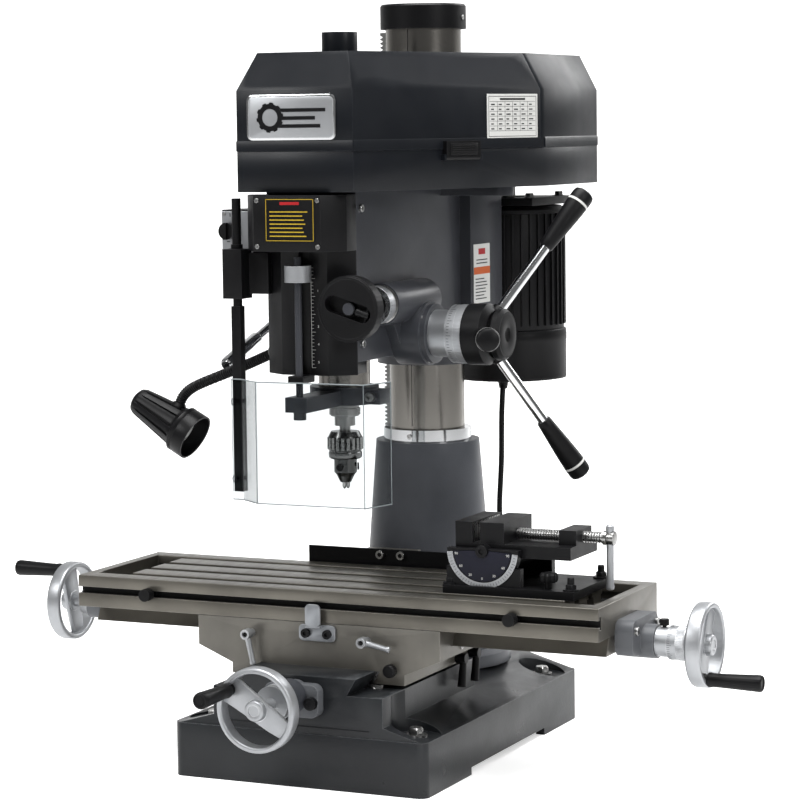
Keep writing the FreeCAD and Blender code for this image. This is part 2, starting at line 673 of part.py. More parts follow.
def make_feed():
    """Down feed: pinion shaft across the head, housing, hub, levers and fine-feed worm."""
    housing = fuse(
        rod("X", "70", "feed_y", "feed_z", "46", "45"),
        rod("X", "115", "feed_y", "feed_z", "43", "8"),
        rod("Y", "80", "-165", "675", "30", "146"),
        prism("YZ", [("-150", "668"), ("-110", "612"), ("-60", "620"), ("-60", "690"),
                     ("-150", "690")], "70", "16"),
    )
    hollow = [
        box("40", "70.1", "-170", "0", "560", "720"),
        rod("X", "69", "feed_y", "feed_z", "36", "40"),
        rod("X", "60", "feed_y", "feed_z", "10 + gap", "80"),
        rod("Y", "80", "-170", "675", "9 + gap", "120"),
        rod("Y", "80", "feed_y - 24", "675", "13.4", "48"),
    ]
    node("feed_housing", cut(housing, *hollow))
    shaft = fuse(
        rod("X", "-58", "feed_y", "feed_z", "10", "290"),
        rod("X", "-20", "feed_y", "feed_z", "14.8", "40"),
    )
    wheel = cut(
        rod("X", "71", "feed_y", "feed_z", "33.4", "22"),
        rod("X", "60", "feed_y", "feed_z", "10 + gap", "60"),
    )
    collars = fuse(
        rod("X", "123.2", "feed_y", "feed_z", "34", "30"),
        rod("X", "153", "feed_y", "feed_z", "42", "25"),
    )
    collars = cut(collars, rod("X", "110", "feed_y", "feed_z", "10 + gap", "90"))
    node("feed_shaft", group(shaft, collars))
    node("worm_wheel", wheel)
    tilt = DIMS["lever_tilt"]
    hub = fuse(rod("X", "178.2", "feed_y", "feed_z", "44", "27.8"),
               taper("X", "206", "feed_y", "feed_z", "44", "34", "8"))
    centre = ("194", "feed_y", "feed_z")
    sockets, rods, grips = [], [], []
    foot = "feed_z + 22"
    for angle in (-32.8, -152.8, -272.8):
        socket = rod("Z", "194", "feed_y", foot, "6 + gap", "60")
        arm = rod("Z", "194", "feed_y", foot, "6", "lever_len - 92")
        ball_grip = cut(
            taper("Z", "194", "feed_y", "feed_z + lever_len - 78", "10", "13.5", "78"),
            rod("Z", "194", "feed_y", "feed_z + lever_len - 79", "6 + gap", "9.1"),
        )
        for piece, kept in ((socket, sockets), (arm, rods), (ball_grip, grips)):
            leaned = turned(piece, centre, (0, 1, 0), tilt)
            kept.append(turned(leaned, centre, (1, 0, 0), angle))
    hub = cut(hub, rod("X", "170", "feed_y", "feed_z", "10 + gap", "60"), *sockets)
    node("feed_levers", group(*rods, *grips))
    knob = cut(
        revolve("X", "0", "feed_y", "feed_z",
                [("0", "218.4"), ("34", "218.4"), ("37", "222"), ("37", "229"), ("33", "234"),
                 ("0", "234")]),
        rod("X", "200", "feed_y", "feed_z", "10 + gap", "32"),
    )
    node("feed_hub", group(hub, knob))
    make_fine_feed()


def make_fine_feed():
    """Worm, dial and hand wheel; a finger handle folds into the wheel's pocket."""
    centre = ("80", "0", "675")
    lean = 17
    fine = fuse(
        rod("Y", "80", "-262", "675", "9", "200"),
        rod("Y", "80", "feed_y - 18", "675", "12.8", "36"),
        rod("Y", "80", "-190", "675", "27", "18"),
        rod("Y", "80", "-252", "675", "16", "62"),
        rod("Y", "80", "-272", "675", "46", "20"),
    )
    pocket = cut(
        fuse(box("56", "104", "-273", "-259", "663", "687"),
             rod("Y", "56", "-273", "675", "12", "14"),
             rod("Y", "104", "-273", "675", "12", "14")),
        rod("Y", "80", "-270", "675", "9", "12"),
    )
    pin = rod("Z", "108", "-267", "660", "2", "30")
    wheel = fuse(cut(fine, turned(pocket, centre, (0, 1, 0), lean)),
                 turned(pin, centre, (0, 1, 0), lean))
    node("fine_wheel", wheel)
    handle = cut(rod("X", "91", "-267", "675", "5.5", "21"),
                 rod("Z", "108", "-267", "660", "2 + gap", "30"))
    node("fine_handle", turned(handle, centre, (0, 1, 0), lean))


def make_quill():
    body = cut(
        rod("Z", "0", SPINDLE_Y, "quill_low", "quill_r", "230"),
        rod("Z", "0", SPINDLE_Y, "quill_low - 1", "15 + gap", "240"),
        box("-9", "9", SPINDLE_Y + " + 30", SPINDLE_Y + " + 40", "quill_low + 30",
            "quill_low + 231"),
    )
    node("quill", body)
    ring = rod("Z", "0", SPINDLE_Y, "quill_low - 3", "50", "25")
    arm = box("-17", "17", "-276", SPINDLE_Y + " - 30", "quill_low - 3", "quill_low + 18")
    ear = box("30", "64", SPINDLE_Y + " - 16", SPINDLE_Y + " + 16", "quill_low - 3",
              "quill_low + 18")
    bore = rod("Z", "0", SPINDLE_Y, "quill_low - 5", "quill_r + gap", "60")
    stop_rod = rod("Z", "0", "-264", "quill_low - 12", "5", "226")
    stop_nut = rod("Z", "0", "-264", "quill_low - 14", "9", "12")
    node("quill_collar", fuse(cut(fuse(ring, arm, ear), bore), stop_rod, stop_nut))
    node("depth_nut", cut(
        rod("Z", "0", "-264", "711", "18.8", "23"),
        rod("Z", "0", "-264", "700", "5 + gap", "50"),
    ))


def make_spindle():
    spindle = cut(
        fuse(rod("Z", "0", SPINDLE_Y, "510", "20.5", "22"),
             rod("Z", "0", SPINDLE_Y, "531", "15", "430")),
        rod("Z", "0", SPINDLE_Y, "500", "12", "60"),
        rod("Z", "0", SPINDLE_Y, "550", "6.2", "420"),
    )
    arbor = fuse(
        rod("Z", "0", SPINDLE_Y, "486", "8", "26"),
        rod("Z", "0", SPINDLE_Y, "496", "15", "13.8"),
        rod("Z", "0", SPINDLE_Y, "509", "11.9", "50"),
        rod("Z", "0", SPINDLE_Y, "558", "6", "420"),
        rod("Z", "0", SPINDLE_Y, "965", "9", "14"),
    )
    node("spindle", group(spindle, arbor))
    chuck = revolve(
        "Z", "0", SPINDLE_Y, "0",
        [("0", "413.5"), ("8", "413.5"), ("13", "424"), ("16.5", "428"), ("16.5", "447.5"),
         ("19", "447.5"), ("19", "485.9"), ("0", "485.9")],
    )
    key_hole = rod("X", "0", SPINDLE_Y, "440", "3.5", "30")
    node("chuck", cut(chuck, key_hole))
    sleeve = cut(
        revolve("Z", "0", SPINDLE_Y, "0",
                [("0", "448"), ("23", "448"), ("26", "451"), ("26", "482"), ("20", "488"),
                 ("0", "488")]),
        rod("Z", "0", SPINDLE_Y, "440", "19 + gap", "46"),
        rod("Z", "0", SPINDLE_Y, "480", "8 + 2 * gap", "12"),
    )
    node("chuck_sleeve", sleeve)


def hexagon(inset):
    """The belt cover in plan, inset from its widest outline."""
    i = inset
    return [
        ("-90 + 0.7 * %s" % i, "cover_front + %s" % i),
        ("90 - 0.7 * %s" % i, "cover_front + %s" % i),
        ("232 - %s" % i, "84"), ("232 - %s" % i, "300"),
        ("150 - 0.8 * %s" % i, "500 - %s" % i), ("-150 + 0.8 * %s" % i, "500 - %s" % i),
        ("-232 + %s" % i, "300"), ("-232 + %s" % i, "84"),
    ]


def loft(low, high, z0, z1):
    """A straight-sided solid between two outlines with the same number of corners."""
    wires = []
    for outline, z in ((low, z0), (high, z1)):
        points = [FreeCAD.Vector(val(x), val(y), val(z)) for x, y in outline]
        wires.append(Part.makePolygon(points + points[:1]))
    obj = doc.addObject("Part::Feature", "Chamfered")
    obj.Shape = Part.makeLoft(wires, True, True)
    return obj


def cover_shell():
    """The cover's chamfered outside and its inside, before it's split into lid and rear."""
    outside = fuse(
        prism("XY", hexagon("0"), "seam_z", "shoulder_z - seam_z"),
        loft(hexagon("0"), hexagon("28"), "shoulder_z", "cover_top"),
    )
    inside = fuse(
        prism("XY", hexagon("3.5"), "seam_z - 1", "shoulder_z - seam_z"),
        loft(hexagon("3.5"), hexagon("31"), "shoulder_z - 1.5", "cover_top - 4"),
    )
    return cut(outside, inside)


def make_covers():
    tray = cut(
        prism("XY", hexagon("0"), "head_top + gap", "seam_z - head_top - 0.2"),
        prism("XY", hexagon("3.5"), "head_top + 5", "seam_z - head_top"),
        rod("Z", "0", "column_y", "head_top - 1", "column_r + 4", "10"),
        box("-column_r - 13", "-50", "column_y - 11", "column_y + 11", "head_top - 1",
            "head_top + 8"),
        rod("Z", "0", SPINDLE_Y, "head_top - 1", "quill_r + 1", "10"),
        rod("Z", "motor_x", "motor_y", "head_top - 1", "20", "10"),
        rod("Z", "idler_x", "idler_y", "head_top - 1", "9", "10"),
    )
    column_hole = rod("Z", "0", "column_y", "seam_z", "column_r + 5", "160")
    rack_hole = box("-column_r - 15", "-50", "column_y - 12", "column_y + 12", "seam_z", "1060")
    split = "76"
    lid = cut(
        cover_shell(), box("-300", "300", split, "600", "seam_z - 2", "1100"),
        rod("Z", "0", SPINDLE_Y, "1000", "20", "60"),
    )
    boss = cut(
        rod("Z", "0", SPINDLE_Y, "cover_top - 3", "31", "5"),
        rod("Z", "0", SPINDLE_Y, "cover_top - 10", "20", "30"),
    )
    cap = revolve(
        "Z", "0", SPINDLE_Y, "cover_top",
        [("17", "-8"), ("20 - gap", "-8"), ("20 - gap", "2 + gap"), ("25.5", "2 + gap"),
         ("25.5", "30"), ("0", "30"), ("0", "26"), ("17", "26")],
    )
    lid_leaves, tray_leaves = lid_hinges()
    node("belt_lid", group(fuse(lid, boss, *lid_leaves), cap))
    rear = cut(
        cover_shell(), box("-300", "300", "-400", split + " + 0.4", "seam_z - 2", "1100"),
        column_hole, rack_hole,
    )
    node("belt_tray", group(fuse(tray, *tray_leaves, *latch_lugs()), rear))
    latch = cut(
        fuse(box("-34", "34", "-9", "-0.2", "-11", "12"),
             rod("X", "-34", "-4.6", "-11", "4.3", "68")),
        rod("X", "-36", "-4.6", "-11", "2 + gap", "72"),
    )
    node("lid_latch", on_slant(latch, 1))


def on_slant(obj, side):
    """Move a piece made along X, facing -Y, onto the cover's slanted right or left side."""
    run = 84 - DIMS["cover_front"]
    share = 0.54
    middle = ("%s" % (side * (90 + 142 * share)), "cover_front + %s" % (run * share), "seam_z")
    flare = side * math.degrees(math.atan2(run, 142))
    return put(group(turned(obj, ("0", "0", "0"), (0, 0, 1), flare)), *middle)


def lid_hinges():
    """Two hinges on the left slant: a knuckle on the lid between two on the tray, and a pin."""
    lid_leaves, tray_leaves = [], []
    for x in (-105, 85):
        knuckle = cut(
            fuse(rod("X", "%s - 8" % x, "-5", "0", "4.5", "16"),
                 box("%s - 8" % x, "%s + 8" % x, "-4", "0.5", "0.1", "14")),
            rod("X", "%s - 9" % x, "-5", "0", "2 + gap", "18"),
        )
        lid_leaves.append(on_slant(knuckle, -1))
        tray_leaves.append(on_slant(fuse(
            rod("X", "%s - 21" % x, "-5", "0", "2", "42"),
            *[fuse(rod("X", "%s + %s" % (x, a), "-5", "0", "4.5", "12.8"),
                   box("%s + %s" % (x, a), "%s + %s" % (x, a + 12.8), "-4", "0.5", "-14", "-0.3"))
              for a in (-21, 8.2)]
        ), -1))
    return lid_leaves, tray_leaves


def latch_lugs():
    """The tray's two lugs and the pin that the latch turns on."""
    lugs = [box(a, b, "-8.5", "0.5", "-15", "-7") for a, b in (("-38", "-34.2"), ("34.2", "38"))]
    return [on_slant(fuse(rod("X", "-38", "-4.6", "-11", "2", "76"), *lugs), 1)]


def make_drive():
    plate = fuse(
        cut(box("motor_x - 88", "motor_x + 80", "290", "470", "800", "812"),
            rod("Z", "motor_x", "motor_y", "790", "30", "30")),
        box("-20", "40", "262", "300", "724", "748"),
        box("-20", "40", "288", "300", "724", "801"),
    )
    frame = cut(
        fuse(rod("Z", "motor_x", "motor_y", "602", "motor_r", "192"),
             rod("Z", "motor_x", "motor_y", "793", "40", "7"),
             box("motor_x - 40", "motor_x + 40", "motor_y + 60", "motor_y + 104", "660", "760")),
        rod("Z", "motor_x", "motor_y", "600", "motor_r - 8", "186"),
        rod("Z", "motor_x", "motor_y", "700", "12 + gap", "120"),
    )
    fan_cover = cut(
        rod("Z", "motor_x", "motor_y", "524", "motor_r + 3", "78"),
        rod("Z", "motor_x", "motor_y", "528", "motor_r - 1", "90"),
    )
    drop = Part.BSplineCurve()
    drop.interpolate([FreeCAD.Vector(*p) for p in (
        (60, 330, 523), (62, 318, 470), (58, 325, 400), (50, 335, 330), (50, 335, 300))])
    start = drop.value(drop.FirstParameter)
    ring = Part.Wire(Part.makeCircle(4, start, drop.tangent(drop.FirstParameter)[0]))
    cable = doc.addObject("Part::Feature", "Cable")
    cable.Shape = Part.Wire(drop.toShape()).makePipeShell([ring], True, True)
    node("motor", group(plate, frame, fan_cover, cable))
    rotor = fuse(
        rod("Z", "motor_x", "motor_y", "560", "12", "386"),
        rod("Z", "motor_x", "motor_y", "625", "62", "130"),
        rod("Z", "motor_x", "motor_y", "545", "70", "40"),
    )
    sheave = stepped_pulley("motor_x", "motor_y", "12 + gap", (48, 40, 32, 24))
    node("motor_rotor", group(rotor, sheave))
    node("spindle_pulley", stepped_pulley("0", SPINDLE_Y, "15 + gap", (48, 56, 64, 72)))
    node("idler_pulley", stepped_pulley("idler_x", "idler_y", "8 + gap", (60, 52, 44, 36)))


def stepped_pulley(x, y, bore, radii):
    """A four-step cone pulley; each step is a V-groove sheave."""
    profile = [(bore, "846")]
    for i, r in enumerate(radii):
        z = 846 + 20 * i
        profile += [(str(r), str(z)), (str(r), str(z + 3)), (str(r - 7), str(z + 8)),
                    (str(r - 7), str(z + 12)), (str(r), str(z + 17)), (str(r), str(z + 20))]
    profile.append((bore, "926"))
    return revolve("Z", x, y, "0", profile)


def belt(x0, y0, r0, x1, y1, r1, z):
    """A V-belt round two sheaves; r0 and r1 are the radii of its inner face."""
    c0 = FreeCAD.Vector(x0, y0, z)
    c1 = FreeCAD.Vector(x1, y1, z)
    span = c1 - c0
    lean = math.asin((r0 - r1) / span.Length)
    base = math.atan2(span.y, span.x)
    points = []
    for centre, radius, first, sweep in (
        (c0, r0, base + math.pi / 2 - lean, math.pi + 2 * lean),
        (c1, r1, base - math.pi / 2 + lean, math.pi - 2 * lean),
    ):
        for k in range(3):
            a = first + sweep * k / 2
            points.append(centre + FreeCAD.Vector(math.cos(a), math.sin(a), 0) * radius)
    path = Part.Wire([
        Part.Arc(*points[:3]).toShape(), Part.LineSegment(points[2], points[3]).toShape(),
        Part.Arc(*points[3:]).toShape(), Part.LineSegment(points[5], points[0]).toShape(),
    ])
    outward = (points[0] - c0).normalize()
    up = FreeCAD.Vector(0, 0, 1)
    corners = [points[0] + outward * a + up * b
               for a, b in ((0, -1.9), (7, -5.6), (7, 5.6), (0, 1.9))]
    section = Part.makePolygon(corners + corners[:1])
    return path.makePipeShell([section], True, False)


def make_belts():
    spindle_y = DIMS["column_y"] - DIMS["throat"]
    idler = (DIMS["idler_x"], DIMS["idler_y"])
    motor = (DIMS["motor_x"], DIMS["motor_y"])
    front = belt(0, spindle_y, 49.2, *idler, 45.2, 876)
    rear = belt(*motor, 41.2, *idler, 53.2, 856)
    belts = doc.addObject("Part::Feature", "Belts")
    belts.Shape = Part.Compound([front, rear])
    node("belts", belts)


def make_accessories():
    """Switch, chuck guard, work lamp, head crank and motor cable."""
    node("switch_box", cut(
        rounded(box("-146", "-70.1", "-216", "-150", "742", "810"), 5, upright),
        rod("Y", "-130", "-218", "780", "5 + gap", "30"),
    ))
    node("switch_knob", fuse(
        rod("Y", "-130", "-217", "780", "5", "20"), rod("Y", "-130", "-232", "780", "12", "15.5"),
        box("-132.5", "-127.5", "-237", "-231", "768", "792"),
    ))
    guard_rod = fuse(
        rod("Z", "-105", "-246", "411", "6.5", "416"),
        rod("Z", "-105", "-246", "756.2", "8.5", "6"),
        box("-112", "-98", "-253", "-239", "411", "675"),
    )
    heights = ("430", "540")
    bolt_holes = [rod("Y", "-105", "-254", z, "3 + gap", "9") for z in heights]
    node("guard_rod", cut(guard_rod, *bolt_holes))
    side = [("-113", "-253.2"), ("-97", "-253.2"), ("-58", "-283"), ("107", "-283"),
            ("121", "-226"), ("124", "-226"), ("110", "-286"), ("-60", "-286"),
            ("-98", "-256.2"), ("-113", "-256.2")]
    bolts = [
        fuse(rod("Y", "-105", "-257", z, "3", "11"), rod("Y", "-105", "-261.5", z, "6", "5"))
        for z in heights
    ]
    panel = cut(prism("XY", side, "400", "172"),
                *[rod("Y", "-105", "-258", z, "3 + gap", "9") for z in heights])
    node("guard_panel", group(panel, *bolts))
    neck = doc.addObject("Part::Feature", "Neck")
    path = Part.BSplineCurve()
    path.interpolate([FreeCAD.Vector(*p) for p in (
        (-76, -184, 608), (-118, -183, 589), (-159, -182, 573), (-212, -182, 552),
        (-232, -182, 537), (-241, -182, 519))])
    wire = Part.Wire(path.toShape())
    start = path.value(path.FirstParameter)
    ring = Part.Wire(Part.makeCircle(7, start, path.tangent(path.FirstParameter)[0]))
    neck.Shape = wire.makePipeShell([ring], True, True)
    shade = revolve("X", "0", "0", "0",
                    [("0", "0"), ("13", "0"), ("20", "5"), ("30", "80"), ("35", "86"),
                     ("35", "112"), ("32.5", "112"), ("32.5", "92"), ("26", "80"), ("15", "30"),
                     ("0", "30")])
    shade = put(shade, *SHADE_TOP)
    shade = turned(shade, SHADE_TOP, (0, 1, 0), 119)
    socket = rod("X", "-78", "-184", "611", "14", "7.9")
    node("work_lamp", fuse(neck, shade, socket))
    crank = fuse(
        rod("X", "-176", "-20", "feed_z", "6.5", "116"),
        turned(rod("Z", "-173", "-20", "feed_z", "6.5", "148"), ("-173", "-20", "feed_z"),
               (1, 0, 0), 108),
        ball("-173", "-20", "feed_z", "6.6"),
    )
    node("head_crank", crank)


make_base()
make_column()
make_rack()
make_cross_feed()
make_saddle()
make_locks()
make_table()
make_stop_dog("stop_dog_left", "-274")
make_stop_dog("stop_dog_right", "301")
make_long_feed()
make_vise()
make_head()
make_front_cover()
make_feed()
make_quill()
make_spindle()
make_covers()
make_drive()
make_belts()
make_accessories()

doc.recompute()
for obj in doc.Objects:
    if "Invalid" in obj.State or "Error" in obj.State:
        raise RuntimeError("%s is %s: %s" % (obj.Label, obj.State, obj.getStatusString()))
for obj in NODES:
    if obj.Shape.isNull() or not obj.Shape.isValid():
        raise RuntimeError("%s has no valid shape" % obj.Label)

os.makedirs("parts", exist_ok=True)
for obj in NODES:
    obj.Shape.exportStep("parts/%s.step" % obj.Label)
    print(obj.Label, len(obj.Shape.Solids), [round(v, 1) for v in (
        obj.Shape.BoundBox.XMin, obj.Shape.BoundBox.XMax, obj.Shape.BoundBox.YMin,
        obj.Shape.BoundBox.YMax, obj.Shape.BoundBox.ZMin, obj.Shape.BoundBox.ZMax)])
print(len(NODES), "sub-parts")
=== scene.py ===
import math
import random

import bmesh
import bpy
from mathutils import Matrix, Vector


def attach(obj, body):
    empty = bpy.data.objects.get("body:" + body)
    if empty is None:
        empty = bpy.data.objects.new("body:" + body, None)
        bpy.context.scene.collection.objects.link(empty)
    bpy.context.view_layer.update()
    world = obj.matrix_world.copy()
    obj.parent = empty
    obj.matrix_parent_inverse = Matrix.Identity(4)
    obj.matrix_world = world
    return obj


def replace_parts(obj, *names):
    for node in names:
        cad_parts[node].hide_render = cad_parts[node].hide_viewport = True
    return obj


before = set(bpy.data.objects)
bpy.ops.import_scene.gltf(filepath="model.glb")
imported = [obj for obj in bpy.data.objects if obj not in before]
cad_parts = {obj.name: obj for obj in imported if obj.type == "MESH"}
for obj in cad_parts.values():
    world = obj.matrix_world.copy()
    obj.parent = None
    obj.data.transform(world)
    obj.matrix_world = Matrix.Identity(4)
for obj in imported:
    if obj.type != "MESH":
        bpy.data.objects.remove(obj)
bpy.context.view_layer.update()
random.seed(7)

# All sizes and places below are millimetres in the CAD's frame, unless a comment says metres.
MM = 0.001
TABLE_Y = -103
TABLE_SCREW_Z = 207.5
CROSS_WHEEL = (0, -405, 133.7)
LEFT_WHEEL_X = -478
RIGHT_WHEEL_X = 540
CRANK_REACH = 49
SPINDLE = (0, -121)
FEED = (-68, 628)
FINE_WHEEL = (80, -272.5, 675)
VISE_PIVOT = (235, 332)
VISE_SCREW_Z = 349
MOTOR = (48, 385)
LID_SEAM_Z = 892.6
FRONT = (0, -1, 0)
# the directions of a label's own X and Z, on the machine's front and on its right side
ON_FRONT = ((1, 0, 0), (0, 0, 1))
ON_RIGHT = ((0, 1, 0), (0, 0, 1))
AXES = {"X": Vector((1, 0, 0)), "Y": Vector((0, 1, 0)), "Z": Vector((0, 0, 1))}
# where a turning's first vertex points, for each of the three axes
STARTS = {"X": Vector((0, 1, 0)), "Y": Vector((0, 0, 1)), "Z": Vector((1, 0, 0))}
BEVEL_ANGLE = math.radians(28)
SMOOTH_ANGLE = math.radians(32)

# the eye: metres, degrees from the front, below the horizon and of roll, and the lens
EYE_PLACE = (1.74344, -3.69324, 0.92472)
EYE_ANGLES = (24.86, 5.65, -0.70)
EYE_LENS = 124.27
# soft lamps: name, place in metres, side in metres, watts
LAMPS = (("key", (-2.4, -3.4, 3.2), 1.4, 78), ("fill", (3.6, -1.6, 2.4), 1.0, 42),
         ("top", (0.3, -0.4, 3.6), 2.6, 210), ("back", (1.5, 3.5, 2.6), 2.2, 80))
FLOOR_GLOW = 0.55
ROOM_LIGHT = 0.16
# the backdrop in metres, seen from the eye: the floor's near edge and half width, where it
# starts to curve up and how tightly, and the wall's top. A camera that goes round to more
# than CURVE_START + CURVE_RADIUS behind the machine looks at the back of the wall.
FLOOR_NEAR = -8.0
FLOOR_HALF_WIDTH = 14
CURVE_START = 2.0
CURVE_RADIUS = 3.0
WALL_TOP = 12.0


# ---------------------------------------------------------------- materials

def new_material(name):
    """A material with its nodes, its links and its shader."""
    material = bpy.data.materials.new(name)
    material.use_nodes = True
    nodes = material.node_tree.nodes
    return material, nodes, material.node_tree.links, nodes["Principled BSDF"]


def set_inputs(node, **values):
    """Give values to a node's inputs; their names have _ for each space."""
    for name, value in values.items():
        node.inputs[name.replace("_", " ")].default_value = value


def add_node(nodes, kind, operation=None, **values):
    """A shader node with values for its inputs."""
    node = nodes.new("ShaderNode" + kind)
    if operation:
        node.operation = operation
    set_inputs(node, **values)
    return node


def noise(nodes, links, coords, scale, detail=4.0, stretch=(1, 1, 1)):
    """A noise texture over the object's own coordinates, stretched along an axis."""
    mapping = add_node(nodes, "Mapping", Scale=stretch)
    links.new(coords, mapping.inputs["Vector"])
    texture = add_node(nodes, "TexNoise", Scale=scale, Detail=detail)
    links.new(mapping.outputs["Vector"], texture.inputs["Vector"])
    return texture.outputs["Fac"]


def ramp(nodes, links, fac, low, high, start, end):
    """Two colours blended over part of a factor's range."""
    blend = add_node(nodes, "MapRange", From_Min=start, From_Max=end)
    links.new(fac, blend.inputs["Value"])
    mix = add_node(nodes, "Mix")
    mix.data_type = "RGBA"
    links.new(blend.outputs["Result"], mix.inputs["Factor"])
    for target, value in ((mix.inputs[6], low), (mix.inputs[7], high)):
        if isinstance(value, bpy.types.NodeSocket):
            links.new(value, target)
        else:
            target.default_value = (*value, 1)
    return mix.outputs[2]


def edge_mask(nodes, links, width):
    """Near 1 along convex and concave edges, 0 on flats."""
    bevel = add_node(nodes, "Bevel", Radius=width)
    bevel.samples = 4
    geometry = add_node(nodes, "NewGeometry")
    dot = add_node(nodes, "VectorMath", "DOT_PRODUCT")
    links.new(bevel.outputs["Normal"], dot.inputs[0])
    links.new(geometry.outputs["True Normal"], dot.inputs[1])
    flip = add_node(nodes, "MapRange", From_Min=0.985, From_Max=0.9)
    links.new(dot.outputs["Value"], flip.inputs["Value"])
    return flip.outputs["Result"]


def surface(name, color, shade, rough, metal=0.0, grain=300, bump=0.05, stretch=(1, 1, 1),
            wear=None, coat=0.0, spread=0.12):
    """A worked surface: two tones of colour, uneven sheen, fine grain and lighter edges."""
    material, nodes, links, shader = new_material(name)
    coords = add_node(nodes, "TexCoord").outputs["Object"]
    cloud = noise(nodes, links, coords, 9, 6)
    tone = ramp(nodes, links, cloud, color, shade, 0.35, 0.7)
    if wear:
        speckle = noise(nodes, links, coords, 90, 3)
        mask = add_node(nodes, "Math", "MULTIPLY")
        links.new(edge_mask(nodes, links, 0.0016), mask.inputs[0])
        links.new(speckle, mask.inputs[1])
        tone = ramp(nodes, links, mask.outputs[0], tone, wear, 0.2, 0.62)
    links.new(tone, shader.inputs["Base Color"])
    fine = noise(nodes, links, coords, grain, 5, stretch)
    sheen = add_node(nodes, "MapRange", To_Min=rough - spread, To_Max=rough + spread)
    links.new(noise(nodes, links, coords, 24, 5, stretch), sheen.inputs["Value"])
    links.new(sheen.outputs["Result"], shader.inputs["Roughness"])
    height = add_node(nodes, "Bump", Strength=bump, Distance=0.001)
    links.new(fine, height.inputs["Height"])
    links.new(height.outputs["Normal"], shader.inputs["Normal"])
    set_inputs(shader, Metallic=metal, Specular_IOR_Level=0.5 if metal else 0.16,
               Coat_Weight=coat, Coat_Roughness=0.25)
    return material


def clear_sheet():
    """Clear plastic: mostly seen through, brighter at grazing angles, with faint scratches."""
    material, nodes, links, shader = new_material("clear_sheet")
    nodes.remove(shader)
    out = nodes["Material Output"]
    coords = add_node(nodes, "TexCoord").outputs["Object"]
    through = add_node(nodes, "BsdfTransparent", Color=(0.80, 0.815, 0.82, 1))
    gloss = add_node(nodes, "BsdfGlossy", Roughness=0.06)
    scratches = add_node(nodes, "Bump", Strength=0.08, Distance=0.0005)
    links.new(noise(nodes, links, coords, 60, 6, (1, 1, 12)), scratches.inputs["Height"])
    links.new(scratches.outputs["Normal"], gloss.inputs["Normal"])
    grazing = add_node(nodes, "LayerWeight", Blend=0.12)
    weaker = add_node(nodes, "Math", "MULTIPLY")
    weaker.inputs[1].default_value = 0.55
    links.new(grazing.outputs["Fresnel"], weaker.inputs[0])
    mix = add_node(nodes, "MixShader")
    links.new(weaker.outputs[0], mix.inputs["Fac"])
    links.new(through.outputs[0], mix.inputs[1])
    links.new(gloss.outputs[0], mix.inputs[2])
    links.new(mix.outputs[0], out.inputs["Surface"])
    return material


